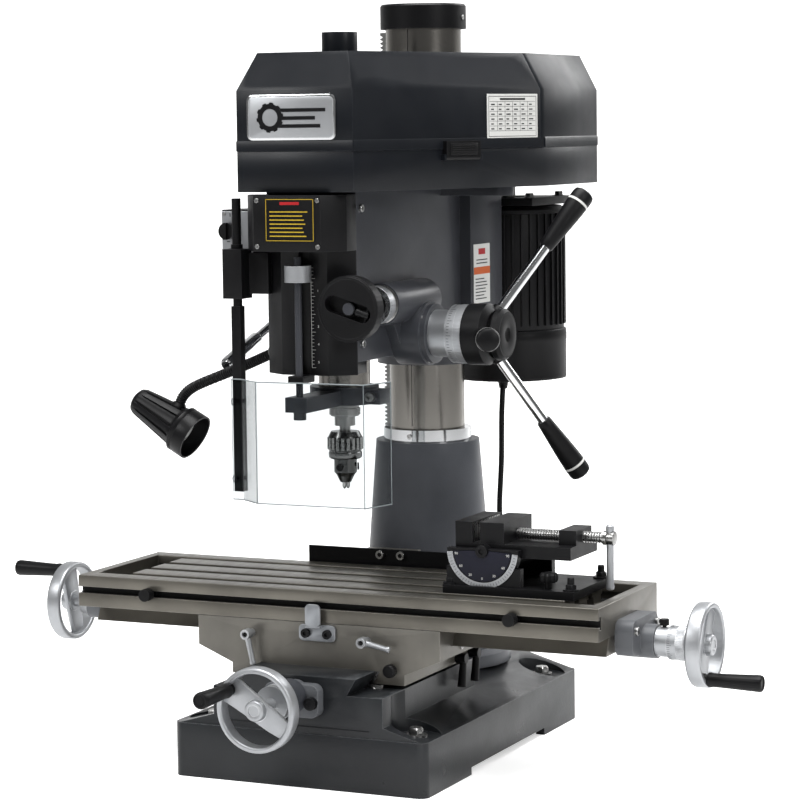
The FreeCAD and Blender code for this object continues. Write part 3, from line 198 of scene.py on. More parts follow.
MATS = {
    "casting": surface("casting_grey", (0.046, 0.048, 0.055), (0.034, 0.036, 0.042), 0.38,
                       grain=420, bump=0.16, wear=(0.10, 0.105, 0.115), coat=0.2),
    "foot": surface("foot_grey", (0.088, 0.093, 0.105), (0.066, 0.070, 0.080), 0.38,
                    grain=420, bump=0.16, wear=(0.14, 0.145, 0.155), coat=0.2),
    "bracket": surface("bracket_grey", (0.115, 0.12, 0.128), (0.088, 0.092, 0.10), 0.42,
                       grain=420, bump=0.2, wear=(0.17, 0.175, 0.185), coat=0.12),
    "base": surface("base_grey", (0.018, 0.020, 0.022), (0.012, 0.013, 0.015), 0.32,
                    grain=380, bump=0.18, wear=(0.09, 0.095, 0.10), coat=0.25),
    "cover": surface("cover_paint", (0.0060, 0.0072, 0.0098), (0.0046, 0.0056, 0.0076), 0.40,
                     grain=600, bump=0.10, wear=(0.016, 0.018, 0.022), coat=0.12),
    "black": surface("black_paint", (0.0035, 0.0035, 0.004), (0.006, 0.006, 0.0068), 0.42,
                     grain=500, bump=0.08, wear=(0.022, 0.022, 0.024), coat=0.05),
    "plastic": surface("black_plastic", (0.0038, 0.0038, 0.0042), (0.0062, 0.0062, 0.0068), 0.42,
                       grain=900, bump=0.04, wear=(0.016, 0.016, 0.017)),
    "steel": surface("ground_steel", (0.33, 0.315, 0.29), (0.27, 0.257, 0.236), 0.22,
                     metal=1.0, grain=160, bump=0.01, stretch=(1, 1, 0.04),
                     wear=(0.42, 0.41, 0.39), spread=0.04),
    "turned": surface("turned_steel", (0.42, 0.42, 0.41), (0.30, 0.30, 0.295), 0.28,
                      metal=1.0, grain=300, bump=0.04, wear=(0.7, 0.7, 0.7)),
    "table": surface("table_iron", (0.155, 0.145, 0.124), (0.105, 0.098, 0.084), 0.34,
                     metal=0.7, grain=240, bump=0.04, stretch=(9, 1, 1),
                     wear=(0.26, 0.25, 0.23)),
    "saddle": surface("saddle_iron", (0.165, 0.156, 0.136), (0.115, 0.109, 0.096), 0.38,
                      metal=0.45, grain=260, bump=0.07, stretch=(6, 1, 1),
                      wear=(0.24, 0.23, 0.21)),
    "chrome": surface("chrome", (0.78, 0.79, 0.80), (0.66, 0.67, 0.68), 0.10, metal=1.0,
                      grain=80, bump=0.01, spread=0.04),
    "aluminium": surface("bright_aluminium", (0.43, 0.44, 0.455), (0.34, 0.35, 0.365), 0.40,
                         metal=0.75, grain=420, bump=0.08, wear=(0.75, 0.76, 0.77)),
    "chuck_steel": surface("chuck_steel", (0.15, 0.15, 0.148), (0.10, 0.10, 0.099), 0.2,
                           metal=1.0, grain=300, bump=0.03, wear=(0.45, 0.45, 0.45)),
    "bracket_zinc": surface("zinc_plate", (0.33, 0.345, 0.365), (0.25, 0.262, 0.28), 0.36,
                            metal=0.6, grain=260, bump=0.05, wear=(0.5, 0.51, 0.53)),
    # belt rubber; the same dark material is also painted shade on the groove and T-slot floors and
    # in the lock levers' sockets
    "rubber_and_painted_shade": surface("belt_rubber", (0.008, 0.008, 0.008), (0.014, 0.014, 0.014), 0.7,
                      grain=700, bump=0.2),
    "vise_blue": surface("vise_blue", (0.007, 0.0075, 0.015), (0.011, 0.0115, 0.024), 0.4,
                         grain=150, bump=0.5, coat=0.1),
    "lens": surface("lamp_lens", (0.70, 0.71, 0.69), (0.60, 0.61, 0.59), 0.22,
                    grain=120, bump=0.3, coat=0.6),
    "clear": clear_sheet(),
    "frosted": surface("frosted_edge", (0.30, 0.33, 0.34), (0.42, 0.45, 0.46), 0.3,
                       grain=400, bump=0.1, coat=0.3),
}
for ink, color, shade, rough in (("white", (0.66, 0.66, 0.64), (0.60, 0.60, 0.58), 0.45),
                                 ("red", (0.42, 0.02, 0.025), (0.35, 0.018, 0.02), 0.4),
                                 ("yellow", (0.52, 0.36, 0.03), (0.45, 0.31, 0.025), 0.42),
                                 ("orange", (0.55, 0.11, 0.025), (0.48, 0.095, 0.02), 0.42)):
    MATS[ink] = surface("label_" + ink, color, shade, rough, grain=200, bump=0.03,
                        spread=0.05)

# which CAD nodes each material dresses
DRESSES = {
    "base": "base",
    "foot": "column_foot",
    "saddle": "saddle",
    "bracket": "y_bracket table_brackets",
    "casting": "head feed_housing quill_collar",
    "steel": "column quill",
    "turned": "rack spindle gib_and_nuts worm_wheel motor_rotor",
    "aluminium": "stop_bracket y_leadscrew x_leadscrew feed_shaft table_lock_left "
                 "table_lock_right depth_nut y_handwheel x_handwheels spindle_pulley "
                 "idler_pulley",
    "black": "frame_bolts vise_jaw guard_rod column_cap way_guard front_cover motor "
             "saddle_lock_front saddle_lock_rear vise_base vise_body work_lamp lid_latch "
             "switch_box",
    "chrome": "column_ring feed_levers head_crank vise_screw",
    "chuck_steel": "chuck chuck_sleeve",
    "table": "table",
    "plastic": "feed_hub fine_wheel fine_handle switch_knob stop_dog_left stop_dog_right "
               "y_handle x_handle_left x_handle_right",
    "cover": "belt_lid belt_tray",
    "rubber_and_painted_shade": "belts",
    "clear": "guard_panel",
}
CAD_LOOK = {node: look for look, nodes in DRESSES.items() for node in nodes.split()}
# how far each CAD node's edges are broken, in millimetres
SOFT_EDGE = {"base": 5.0, "head": 7.0, "saddle": 1.2, "belt_lid": 5.0, "belt_tray": 5.0,
             "table": 0.8, "column_foot": 2.0, "front_cover": 2.0, "feed_housing": 2.0,
             "table_brackets": 2.0, "y_bracket": 2.0, "quill_collar": 3.5, "motor": 1.5}


def dress_cad():
    """Give every CAD node its material and smooth shading, and soften the edges of those in
    SOFT_EDGE.
    """
    for name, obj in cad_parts.items():
        obj.data.materials.clear()
        obj.data.materials.append(MATS[CAD_LOOK[name]])
        weld = obj.modifiers.new("weld", "WELD")
        weld.merge_threshold = 0.00002
        if name in SOFT_EDGE:
            soften(obj, SOFT_EDGE[name])
        smooth_by_angle(obj)


def soften(obj, width, segments=3):
    """Round an object's sharp edges by a width."""
    bevel = obj.modifiers.new("soft_edges", "BEVEL")
    bevel.width = width * MM
    bevel.segments = segments
    bevel.limit_method = "ANGLE"
    bevel.angle_limit = BEVEL_ANGLE
    bevel.use_clamp_overlap = True
    bevel.harden_normals = False


def smooth_by_angle(obj):
    """Smooth shading that stays crisp across sharp edges."""
    for polygon in obj.data.polygons:
        polygon.use_smooth = True
    split = obj.modifiers.new("sharp_edges", "EDGE_SPLIT")
    split.split_angle = SMOOTH_ANGLE


# ---------------------------------------------------------------- shapes

def new_object(name, data):
    """An object in the scene that holds some data."""
    obj = bpy.data.objects.new(name, data)
    bpy.context.scene.collection.objects.link(obj)
    return obj


def finish_mesh(name, mesh, look, body, smooth=True):
    """Turn a bmesh in millimetres into a piece that rides on a body."""
    bmesh.ops.remove_doubles(mesh, verts=mesh.verts, dist=0.001)
    bmesh.ops.recalc_face_normals(mesh, faces=mesh.faces)
    data = bpy.data.meshes.new(name)
    mesh.to_mesh(data)
    mesh.free()
    data.transform(Matrix.Scale(MM, 4))
    obj = new_object(name, data)
    obj.data.materials.append(MATS[look])
    if smooth:
        smooth_by_angle(obj)
    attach(obj, body)
    return obj


def frame_of(axis):
    """Two directions square to an axis, and the axis itself."""
    if isinstance(axis, str):
        side, up = STARTS[axis], AXES[axis]
    else:
        up = Vector(axis).normalized()
        side = up.orthogonal().normalized()
    return side, up.cross(side), up


def join_rings(mesh, low, high):
    """Add the faces between two matching rings of vertices."""
    for k in range(len(low)):
        following = (k + 1) % len(low)
        mesh.faces.new((low[k], low[following], high[following], high[k]))


def add_prism(mesh, first, last):
    """Add two matching outlines as faces, and the faces between them."""
    mesh.faces.new(first)
    mesh.faces.new(last)
    join_rings(mesh, first, last)


def add_lathe(mesh, origin, axis, profile, steps=48, shape=None):
    """Add a closed turning to a mesh.

    The profile lists (radius, height). It makes a ring if it ends where it starts, and is
    capped otherwise. shape may change a radius by (angle, profile index).
    """
    side, other, up = frame_of(axis)
    origin = Vector(origin)
    rings = []
    for index, (radius, height) in enumerate(profile):
        ring = []
        for step in range(steps):
            angle = 2 * math.pi * step / steps
            r = radius * shape(angle, index) if shape else radius
            ring.append(mesh.verts.new(
                origin + up * height + side * (r * math.cos(angle)) + other * (r * math.sin(angle))
            ))
        rings.append(ring)
    for low, high in zip(rings, rings[1:]):
        join_rings(mesh, low, high)
    if profile[0] != profile[-1]:
        mesh.faces.new(rings[0])
        mesh.faces.new(rings[-1])
    else:
        first, last = rings[0], rings[-1]
        for step in range(steps):
            last[step].co = first[step].co


def lathe(name, origin, axis, profile, look, body, steps=48, shape=None):
    """One turning as a piece."""
    return heads(name, [origin], axis, profile, look, body, steps, shape)


def add_block(mesh, low, high, turn=None, pivot=(0, 0, 0)):
    """Add a box between two corners, turned about a pivot."""
    corners = []
    for z in (low[2], high[2]):
        for x, y in ((low[0], low[1]), (high[0], low[1]), (high[0], high[1]), (low[0], high[1])):
            point = Vector((x, y, z))
            if turn is not None:
                point = Vector(pivot) + turn @ (point - Vector(pivot))
            corners.append(mesh.verts.new(point))
    for face in ((0, 3, 2, 1), (4, 5, 6, 7), (0, 1, 5, 4), (1, 2, 6, 5), (2, 3, 7, 6),
                 (3, 0, 4, 7)):
        mesh.faces.new([corners[i] for i in face])


def block(name, low, high, look, body, edge=0.6, turn=None, pivot=(0, 0, 0)):
    """One box with rounded edges as a piece."""
    obj = blocks(name, [(low, high)], look, body, 0, turn, pivot)
    soften(obj, edge, 2)
    smooth_by_angle(obj)
    return obj


def blocks(name, boxes, look, body, edge=0.3, turn=None, pivot=(0, 0, 0)):
    """Several boxes as one piece."""
    mesh = bmesh.new()
    for low, high in boxes:
        add_block(mesh, low, high, turn, pivot)
    obj = finish_mesh(name, mesh, look, body, smooth=False)
    if edge:
        soften(obj, edge, 1)
    return obj


def hexagonal(angle):
    """How far a hexagon's side is at an angle, as a share of its corner radius."""
    return math.cos(math.pi / 6) / math.cos(angle % (math.pi / 3) - math.pi / 6)


def heads(name, spots, axis, profile, look, body, steps, shape):
    """The same turning at several spots as one piece."""
    mesh = bmesh.new()
    for spot in spots:
        add_lathe(mesh, spot, axis, profile, steps, shape)
    return finish_mesh(name, mesh, look, body)


def cap_screws(name, spots, axis, radius, height, body, look="turned"):
    """Socket head screws: knurled round heads with a hexagon recess."""
    recess = radius * 0.55

    def shape(angle, index):
        if index in (0, 1):
            return hexagonal(angle)
        if index in (4, 5):
            return 1 + 0.012 * math.cos(24 * angle)
        return 1.0

    profile = [(recess, height * 0.45), (recess, height), (recess * 1.12, height),
               (radius * 0.93, height), (radius, height * 0.9), (radius, 0)]
    return heads(name, spots, axis, profile, look, body, 72, shape)


def hex_bolts(name, spots, axis, radius, height, body, look="turned", washer=1.0):
    """Hexagon bolt heads with chamfered corners, each on a round washer."""

    def shape(angle, index):
        return hexagonal(angle) if index in (2, 3) else 1.0

    profile = [(radius * 1.45, 0), (radius * 1.45, washer), (radius, washer),
               (radius, height * 0.85), (radius * 0.8, height)]
    return heads(name, spots, axis, profile, look, body, 36, shape)


def tube(name, points, radius, look, body, sides=16, ring_pitch=None):
    """A round bar or hose along points in millimetres; ring_pitch gives it hoops."""
    path = [Vector(p) for p in points]
    mesh = bmesh.new()
    rings = []
    normal = (path[1] - path[0]).orthogonal().normalized()
    travelled = 0.0
    for i, point in enumerate(path):
        ahead = path[min(i + 1, len(path) - 1)]
        behind = path[max(i - 1, 0)]
        along = (ahead - behind).normalized()
        normal = (normal - along * normal.dot(along)).normalized()
        other = along.cross(normal)
        travelled += (point - behind).length if i else 0.0
        r = radius
        if ring_pitch:
            r += 0.6 * math.sin(2 * math.pi * travelled / ring_pitch)
        rings.append([
            mesh.verts.new(point + normal * (r * math.cos(a)) + other * (r * math.sin(a)))
            for a in (2 * math.pi * k / sides for k in range(sides))
        ])
    for low, high in zip(rings, rings[1:]):
        join_rings(mesh, low, high)
    mesh.faces.new(rings[0])
    mesh.faces.new(rings[-1])
    return finish_mesh(name, mesh, look, body)


def smooth_path(points, count):
    """A Catmull-Rom curve through points."""
    pts = [Vector(p) for p in points]
    pts = [pts[0] * 2 - pts[1]] + pts + [pts[-1] * 2 - pts[-2]]
    out = []
    spans = len(pts) - 3
    for i in range(count + 1):
        u = i / count * spans
        k = min(int(u), spans - 1)
        f = u - k
        a, b, c, d = pts[k:k + 4]
        out.append(0.5 * (2 * b + (c - a) * f + (2 * a - 5 * b + 4 * c - d) * f * f
                          + (3 * b - a - 3 * c + d) * f ** 3))
    return out


def number(name, text, size, place, look, body):
    """A small raised figure on a surface that faces the operator."""
    curve = bpy.data.curves.new(name, "FONT")
    curve.body = text
    curve.size = size * MM
    curve.extrude = 0.00012
    curve.align_x = "CENTER"
    curve.align_y = "CENTER"
    holder = new_object(name + "_text", curve)
    data = bpy.data.meshes.new_from_object(holder)
    bpy.data.objects.remove(holder)
    turn = Matrix((AXES["X"], AXES["Z"], FRONT)).transposed().to_4x4()
    data.transform(Matrix.Translation(Vector(place) * MM) @ turn)
    obj = new_object(name, data)
    obj.data.materials.clear()
    obj.data.materials.append(MATS[look])
    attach(obj, body)
    return obj


def add_spoke(mesh, foot, out, up, low, high):
    """Add a box at a foot; its corners lie along out, round the axis and up from there."""
    turn = Matrix((out, up.cross(out), up)).transposed()
    add_block(mesh, foot + Vector(low), foot + Vector(high), turn, foot)


def around(count, start=0.0):
    """Directions spaced evenly round Z."""
    for k in range(count):
        angle = 2 * math.pi * k / count + start
        yield Vector((math.cos(angle), math.sin(angle), 0))


def ring_marks(name, origin, axis, radius, height, count, long_every, look, body, width=0.5):
    """Graduation lines round a collar, at a height along its axis."""
    side, other, up = frame_of(axis)
    mesh = bmesh.new()
    for k in range(count):
        angle = 2 * math.pi * k / count
        out = side * math.cos(angle) + other * math.sin(angle)
        length = 7 if k % long_every == 0 else 4
        foot = Vector(origin) + up * height + out * radius
        add_spoke(mesh, foot, out, up, (-0.4, -width / 2, 0), (0.12, width / 2, length))
    return finish_mesh(name, mesh, look, body, smooth=False)


def knurl(count, depth):
    """A shape for lathe that cuts flutes into the outer rings."""
    def shape(angle, index):
        return 1 - depth * (0.5 + 0.5 * math.cos(count * angle))
    return shape


# ---------------------------------------------------------------- base, column and table

def wheel(name, centre, axis, pin_angle, body, node=None):
    """A cast handwheel: a deep rim, a flat bar across it in line with the pin, a flush hub."""
    side, other, up = frame_of(axis)
    mesh = bmesh.new()
    rim = [(51.2, -9), (52.2, -10.6), (54, -11.2), (57.4, -10.8), (59.2, -8.6), (59.5, 0),
           (59.2, 8.6), (57.4, 10.8), (54, 11.2), (52.2, 10.6), (51.2, 9), (51.2, -9)]
    add_lathe(mesh, centre, axis, rim, 120)
    hub = [(8.1, -13), (13, -13), (14.6, -11), (15.4, -4), (15.4, 4), (14.6, 5.4), (8.1, 5.6),
           (8.1, -13)]
    if up.dot(Vector(centre) - Vector((0, TABLE_Y, 200))) > 0:
        hub = [(r, -h) for r, h in hub]
    add_lathe(mesh, centre, axis, hub, 48)
    along = side * math.cos(pin_angle) + other * math.sin(pin_angle)
    across = up.cross(along)
    outline = [(-52, -12), (-30, -15), (30, -18), (51, -20), (51, 20), (30, 18), (-30, 15),
               (-52, 12)]
    low, high = [], []
    for u, v in outline:
        point = Vector(centre) + along * u + across * v
        low.append(mesh.verts.new(point - up * 3.5))
        high.append(mesh.verts.new(point + up * 3.5))
    add_prism(mesh, low, high)
    obj = finish_mesh(name, mesh, "aluminium", body, smooth=False)
    soften(obj, 0.8, 2)
    smooth_by_angle(obj)
    if node:
        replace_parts(obj, node)
    return obj


def crank_pin(name, centre, axis, pin_angle, reach, out, body):
    """The pin that carries a revolving handle, with its boss on the wheel's bar."""
    side, other, up = frame_of(axis)
    spot = Vector(centre) + (side * math.cos(pin_angle) + other * math.sin(pin_angle)) * reach
    lathe(name, spot, up * out,
          [(8.5, 2), (8.5, 7), (7.2, 9.5), (6.6, 11.3), (4.4, 11.4), (4.4, 88)], "plastic", body,
          32)


# radius and height along a handle from its root, millimetres
HANDLE = [(4.6, 0), (9.2, 0), (10.4, 1.4), (10.6, 4), (9.7, 8), (9.9, 20), (10.9, 48),
          (11.7, 68), (11.9, 74), (11.0, 77), (9.4, 78), (8.8, 76.4), (5.2, 76), (4.6, 76)]


# radius and height of a screw's end in its handwheel, millimetres
SHAFT_END = [(7.6, 0), (7.6, 2.0), (6.8, 2.8), (1, 2.8)]


def handles_and_wheels():
    pin = math.atan2(-41, 26)
    wheel("cross_wheel", CROSS_WHEEL, "Y", pin, "cross_screw", "y_handwheel")
    crank_pin("cross_pin", CROSS_WHEEL, "Y", pin, math.hypot(41, 26), -1, "cross_screw")
    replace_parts(lathe("cross_handle", (-41, -416.5, 159.7), FRONT, HANDLE, "plastic",
                      "cross_handle", 72, knurl(24, 0.02)), "y_handle")
    for end, x, turn, out in (("left", LEFT_WHEEL_X, 14, -1), ("right", RIGHT_WHEEL_X, 155, 1)):
        centre = (x, TABLE_Y, TABLE_SCREW_Z)
        angle = math.radians(90 + turn)
        node = "x_handwheels" if out < 0 else None
        wheel(end + "_wheel", centre, "X", angle, "long_screw", node)
        crank_pin(end + "_pin", centre, "X", angle, CRANK_REACH, out, "long_screw")
        y = TABLE_Y + CRANK_REACH * math.cos(angle)
        z = TABLE_SCREW_Z + CRANK_REACH * math.sin(angle)
        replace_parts(lathe(end + "_handle", (x + 11.5 * out, y, z), (out, 0, 0), HANDLE,
                          "plastic", end + "_handle", 72, knurl(24, 0.02)), "x_handle_" + end)
        lathe(end + "_shaft_end", (x + 4 * out, TABLE_Y, TABLE_SCREW_Z), (out, 0, 0), SHAFT_END,
              "casting", "long_screw", 36)
    lathe("cross_shaft_end", (0, -409, 133.7), FRONT, SHAFT_END, "casting", "cross_screw", 36)


def dial_rim(name, origin, axis, inner, outer, width, steps, flutes, depth, body, lip=0.8):
    """A knurled ring, chamfered from its outer to its inner radius at each end."""
    lathe(name, origin, axis,
          [(inner, 0), (outer, lip), (outer, width), (inner, width + lip)],
          "aluminium", body, steps, knurl(flutes, depth))


def dials():
    ring_marks("cross_dial_marks", (0, -365, 133.7), "Y", 25, 2, 50, 5, "black", "cross_screw",
               0.45)
    dial_rim("cross_dial_rim", (0, -351.5, 133.7), "Y", 25, 25.6, 6, 120, 60, 0.014,
             "cross_screw", 0.6)
    ring_marks("long_dial_marks", (490.5, TABLE_Y, TABLE_SCREW_Z), "X", 24, 1.5, 50, 5, "black",
               "long_screw", 0.45)
    dial_rim("long_dial_rim", (503, TABLE_Y, TABLE_SCREW_Z), "X", 23.5, 24.6, 12, 144, 72,
             0.016, "long_screw")
    lathe("dial_thumb_screw", (481, TABLE_Y, 228), "Z",
          [(3, 0), (3, 3), (6, 3), (6.6, 4), (6.6, 11), (6, 12)], "plastic", "long_screw", 72,
          knurl(18, 0.06))
    dial_rim("left_dial_rim", (-452, TABLE_Y, TABLE_SCREW_Z), "X", 18.8, 19.5, 9, 120, 54,
             0.02, "long_screw")
    for end, x, out in (("left", -420, -1), ("right", 454, 1)):
        spots = [(x, TABLE_Y + dy, 228) for dy in (-44, 40)]
        cap_screws(end + "_bracket_screws", spots, (out, 0, 0), 6, 5, "table")


def base_and_column():
    pads = [(sx * 160, sy * 236, 75) for sx in (-1, 1) for sy in (-1, 1)]
    hex_bolts("hold_down_bolts", pads, "Z", 11, 13, "frame", washer=3)
    spots = [(x, -314, 125.7) for x in (-33, 33)]
    cap_screws("bracket_screw_heads", spots, FRONT, 8.9, 1.2, "frame", "black")
    lathe("bracket_rib", (0, -306.2, 133.7), FRONT,
          [(25, 0), (25, 3), (22.4, 9), (21.2, 30), (22.2, 32), (22.2, 37.6), (20, 38)],
          "casting", "frame", 64)
    cap_screws("cap_set_screw", [(65.0, 170, 1088)], "X", 4, 1.2, "frame")
    blocks("column_scribe", [((-0.4, 112.1, 470), (0.4, 112.9, 1070))], "black", "frame", 0)
    blocks("foot_seam", [((-112, -290.4, 87.4), (112, -289.4, 88.2))], "black", "frame", 0)
    cap_screws("foot_ring_screws", [(0, 102.6, 455)], FRONT, 4, 1.5, "frame")


def lock_lever(name, node, centre, arm_angle, arm_length, body):
    """A slim clamp lever on the saddle's front: a turned boss, a recess and a tapered arm."""
    mesh = bmesh.new()
    x, y, z = centre
    boss = [(1, 21.6), (3.6, 21.6), (4.4, 24), (7, 24), (7.6, 22.8), (7.6, 11), (6, 9),
            (5.2, 0), (1, 0)]
    add_lathe(mesh, centre, FRONT, boss, 40)
    a = math.radians(arm_angle)
    way = (math.sin(a), 0, math.cos(a))
    arm = [(1, 0), (4.4, 0), (4.4, 8), (3.7, arm_length - 6), (4.6, arm_length - 3),
           (4.2, arm_length), (1, arm_length + 1.4)]
    add_lathe(mesh, (x, y - 16, z), way, arm, 32)
    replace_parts(finish_mesh(name + "_lever", mesh, "aluminium", body), node)
    # a dark hexagon on the floor of the boss's recess: painted shade of a deep socket
    lathe(name + "_socket_shade", (x, y - 21.8, z), FRONT, [(0.4, 0), (3.5, 0), (3.5, 0.7)],
          "rubber_and_painted_shade", body, 6)


def stop_bracket():
    """A bright bent plate with round corners, held by two dark socket screws."""
    foot = plate("stop_plate", (-27, -222.3, 197), 58, 24, 7, 3.7, "bracket_zinc", "saddle")
    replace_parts(foot, "stop_bracket")
    plate("stop_tongue", (-13, -230, 219), 24, 32.5, 7, 4, "bracket_zinc", "saddle")
    block("stop_bend", (-13, -233.6, 216.6), (11, -222.4, 221), "bracket_zinc", "saddle", 1.6)
    cap_screws("stop_screws", [(x, -226, 208.5) for x in (-15, 19)], FRONT, 6.6, 5.4,
               "saddle", "black")


def saddle_and_table():
    stop_bracket()
    lock_lever("left_lock", "table_lock_left", (-104, -222, 203), 168, 44, "left_table_lock")
    lock_lever("right_lock", "table_lock_right", (80, -222, 203), 101, 42, "right_table_lock")
    lathe("slide_knob", (119, -222.2, 164), FRONT,
          [(4, 0), (4, 4), (8.4, 4), (9.4, 6), (9.4, 15), (8, 17), (3, 17.4)], "plastic",
          "saddle", 72, knurl(18, 0.05))
    block("gib_tab", (78, -227, 126), (104, -222.4, 141), "turned", "saddle")
    cap_screws("gib_screws", [(91, -227, 133.5), (0, -222, 212)], FRONT, 4.5, 3.5, "saddle")
    cap_screws("gib_adjusters", [(192, y, 189.6) for y in (-150, -20)], "X", 3.6, 3, "saddle")
    for end, x in (("left", -274), ("right", 301)):
        lathe(end + "_dog_head", (x, -221.9, 248), FRONT,
              [(8.6, 0), (9.3, 0.8), (9.3, 13.8), (8.6, 15.2), (3, 15.4)], "plastic",
              end + "_stop_dog", 96, knurl(24, 0.045))
    cap_screws("way_guard_screws", [(x, 30.5, 284) for x in (-17, 17)], FRONT, 6.6, 5.6,
               "saddle")
    # dark strips on the floor of the table's front groove and of its T-slots: painted shade in
    # these recesses
    blocks("groove_painted_shade", [((-393.5, -211.35, 239.3), (427.5, -211.05, 256.7))], "rubber_and_painted_shade",
           "table", 0)
    slot_shade_strips = [((-376, TABLE_Y + 54.6 * k - 12.9, 245.8), (411, TABLE_Y + 54.6 * k + 12.9, 246.1))
             for k in (-1.5, -0.5, 0.5, 1.5)]
    blocks("slot_painted_shade", slot_shade_strips, "rubber_and_painted_shade", "table", 0)


# ---------------------------------------------------------------- vise

def arc_plate(name, centre, r0, r1, start, end, y0, y1, look, body):
    """A flat ring sector facing the operator. Angles are from +X towards +Z."""
    steps = 60
    mesh = bmesh.new()
    front, back = [], []
    for y, arcs in ((y0, front), (y1, back)):
        for k in range(steps + 1):
            a = math.radians(start + (end - start) * k / steps)
            arcs.append([mesh.verts.new((centre[0] + r * math.cos(a), y,
                                         centre[1] + r * math.sin(a))) for r in (r0, r1)])
    for k in range(steps):
        mesh.faces.new((front[k][0], front[k][1], front[k + 1][1], front[k + 1][0]))
        mesh.faces.new((back[k][0], back[k + 1][0], back[k + 1][1], back[k][1]))
        for edge in (0, 1):
            mesh.faces.new((front[k][edge], front[k + 1][edge], back[k + 1][edge],
                            back[k][edge]))
    for k in (0, steps):
        mesh.faces.new((front[k][0], front[k][1], back[k][1], back[k][0]))
    return finish_mesh(name, mesh, look, body)


def vise():
    for side, y in (("front", -169), ("rear", -37)):
        out = -1 if side == "front" else 1
        arc_plate("vise_%s_cheek" % side, VISE_PIVOT, 10, 43.5, 183, 357, y, y + 2.2 * out,
                  "vise_blue", "table")
        arc_plate("vise_%s_scale" % side, VISE_PIVOT, 45.5, 53.6, 184, 356, y, y + 1.4 * out,
                  "aluminium", "table")
    mesh = bmesh.new()
    for k in range(35):
        a = math.radians(185 + 5 * k)
        out = Vector((math.cos(a), 0, math.sin(a)))
        foot = Vector((VISE_PIVOT[0], -170.4, VISE_PIVOT[1])) + out * 48
        length = 5.4 if k % 3 == 1 else 3.4
        add_spoke(mesh, foot, out, out.cross(AXES["Y"]), (0, -0.15, -0.25), (length, 0.1, 0.25))
    finish_mesh("vise_scale_marks", mesh, "black", "table", smooth=False)
    for k, text in enumerate(("90", "60", "30", "0", "30", "60", "90")):
        a = math.radians(188 + 164 * k / 6)
        place = (VISE_PIVOT[0] + 39.5 * math.cos(a), -171.3,
                 VISE_PIVOT[1] + 39.5 * math.sin(a))
        number("vise_figure_%d" % k, text, 5, place, "white", "table")
    cap_screws("vise_pivot_screws", [(235, -169.4, 331)], FRONT, 9, 5, "table", "black")
    cap_screws("vise_pivot_screw_rear", [(235, -36.6, 331)], "Y", 9, 5, "table", "black")
    thread = [(6, 19), (8, 19)]
    for k in range(31):
        x = 21 + 4 * k
        thread += [(8, x), (8, x + 1), (6.2, x + 1.9), (6.2, x + 2.6), (8, x + 3.6)]
    thread += [(8, 147), (10, 147), (10, 150), (9.2, 152), (10, 154), (10, 163), (8.6, 163.4)]
    screw = lathe("vise_thread", (245, TABLE_Y, VISE_SCREW_Z), "X", [(6, 0)] + thread, "turned",
                  "vise_clamp_screw", 40)
    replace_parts(screw, "vise_screw")
    lathe("vise_bar", (401, TABLE_Y, 275), "Z",
          [(3, 0), (5.6, 2), (6, 6), (5.2, 9.5), (5.2, 83), (6, 86), (5.6, 91), (3, 93)],
          "aluminium", "vise_clamp_screw", 32)
    for jaw, x, body in (("jaw", 225.85, "vise_moving_jaw"),
                         ("fixed", 213.4, "vise_tilting_body")):
        blocks("vise_%s_teeth" % jaw,
               [((x, -150 + 6 * k, 342), (x + 0.75, -147 + 6 * k, 368)) for k in range(16)],
               "turned", body, 0)
    studs = [(365, -162, 281.7), (365, -44, 281.7), (184, -163, 281.7), (184, -43, 281.7)]
    hex_bolts("vise_clamp_nuts", studs, "Z", 8, 9, "table", "black", 2.4)
    for k, spot in enumerate(studs):
        lathe("vise_stud_%d" % k, spot, "Z", [(4.6, 8), (5, 8.5), (5, 17), (4, 18.5)], "black",
              "table", 24)
    lathe("vise_lock_knob", (330, -158, 281.5), "Z",
          [(5, 0), (5, 9), (12, 10), (13.5, 13), (13.5, 20), (11, 23), (4, 23.5)], "plastic",
          "table", 84, knurl(7, 0.16))


# ---------------------------------------------------------------- head

def face_turn(face):
    """The rotation that lays a label's own X and Z along a face's two directions."""
    x, z = (Vector(way).normalized() for way in face)
    return Matrix((x, z.cross(x), z)).transposed()


def label(name, corner, face, width, height, out, look, body, edge=0.8):
    """A thin plate lying on a flat face; out is how far it stands off it."""
    turn = face_turn(face)
    base = Vector(corner)
    mesh = bmesh.new()
    add_block(mesh, base + Vector((0, -out, 0)), base + Vector((width, 0.05, height)), turn, base)
    obj = finish_mesh(name, mesh, look, body, smooth=False)
    soften(obj, min(edge, out * 0.45), 1)
    return obj


def rows(name, corner, face, spans, out, look, body):
    """Bars on a label: (start across, start up, width, height) in millimetres."""
    turn = face_turn(face)
    base = Vector(corner)
    mesh = bmesh.new()
    for u, v, width, height in spans:
        add_block(mesh, base + Vector((u, -out, v)), base + Vector((u + width, 0, v + height)),
                  turn, base)
    return finish_mesh(name, mesh, look, body, smooth=False)


def plate(name, corner, width, height, radius, thick, look, body):
    """A plate with round corners that lies on a face towards the operator."""
    mesh = bmesh.new()
    x0, y0, z0 = corner
    front, back = [], []
    for cx, cz, start in ((width - radius, radius, 270), (width - radius, height - radius, 0),
                          (radius, height - radius, 90), (radius, radius, 180)):
        for k in range(7):
            a = math.radians(start + 15 * k)
            x, z = x0 + cx + radius * math.cos(a), z0 + cz + radius * math.sin(a)
            front.append(mesh.verts.new((x, y0 - thick, z)))
            back.append(mesh.verts.new((x, y0 + 0.1, z)))
    add_prism(mesh, front, back)
    obj = finish_mesh(name, mesh, look, body, smooth=False)
    soften(obj, thick * 0.3, 2)
    smooth_by_angle(obj)
    return obj


def frame_bars(width, height, margin, line):
    """The four bars of a border line on a label."""
    w, h = width - 2 * margin, height - 2 * margin
    return [(margin, margin, w, line), (margin, margin + h - line, w, line),
            (margin, margin, line, h), (margin + w - line, margin, line, h)]


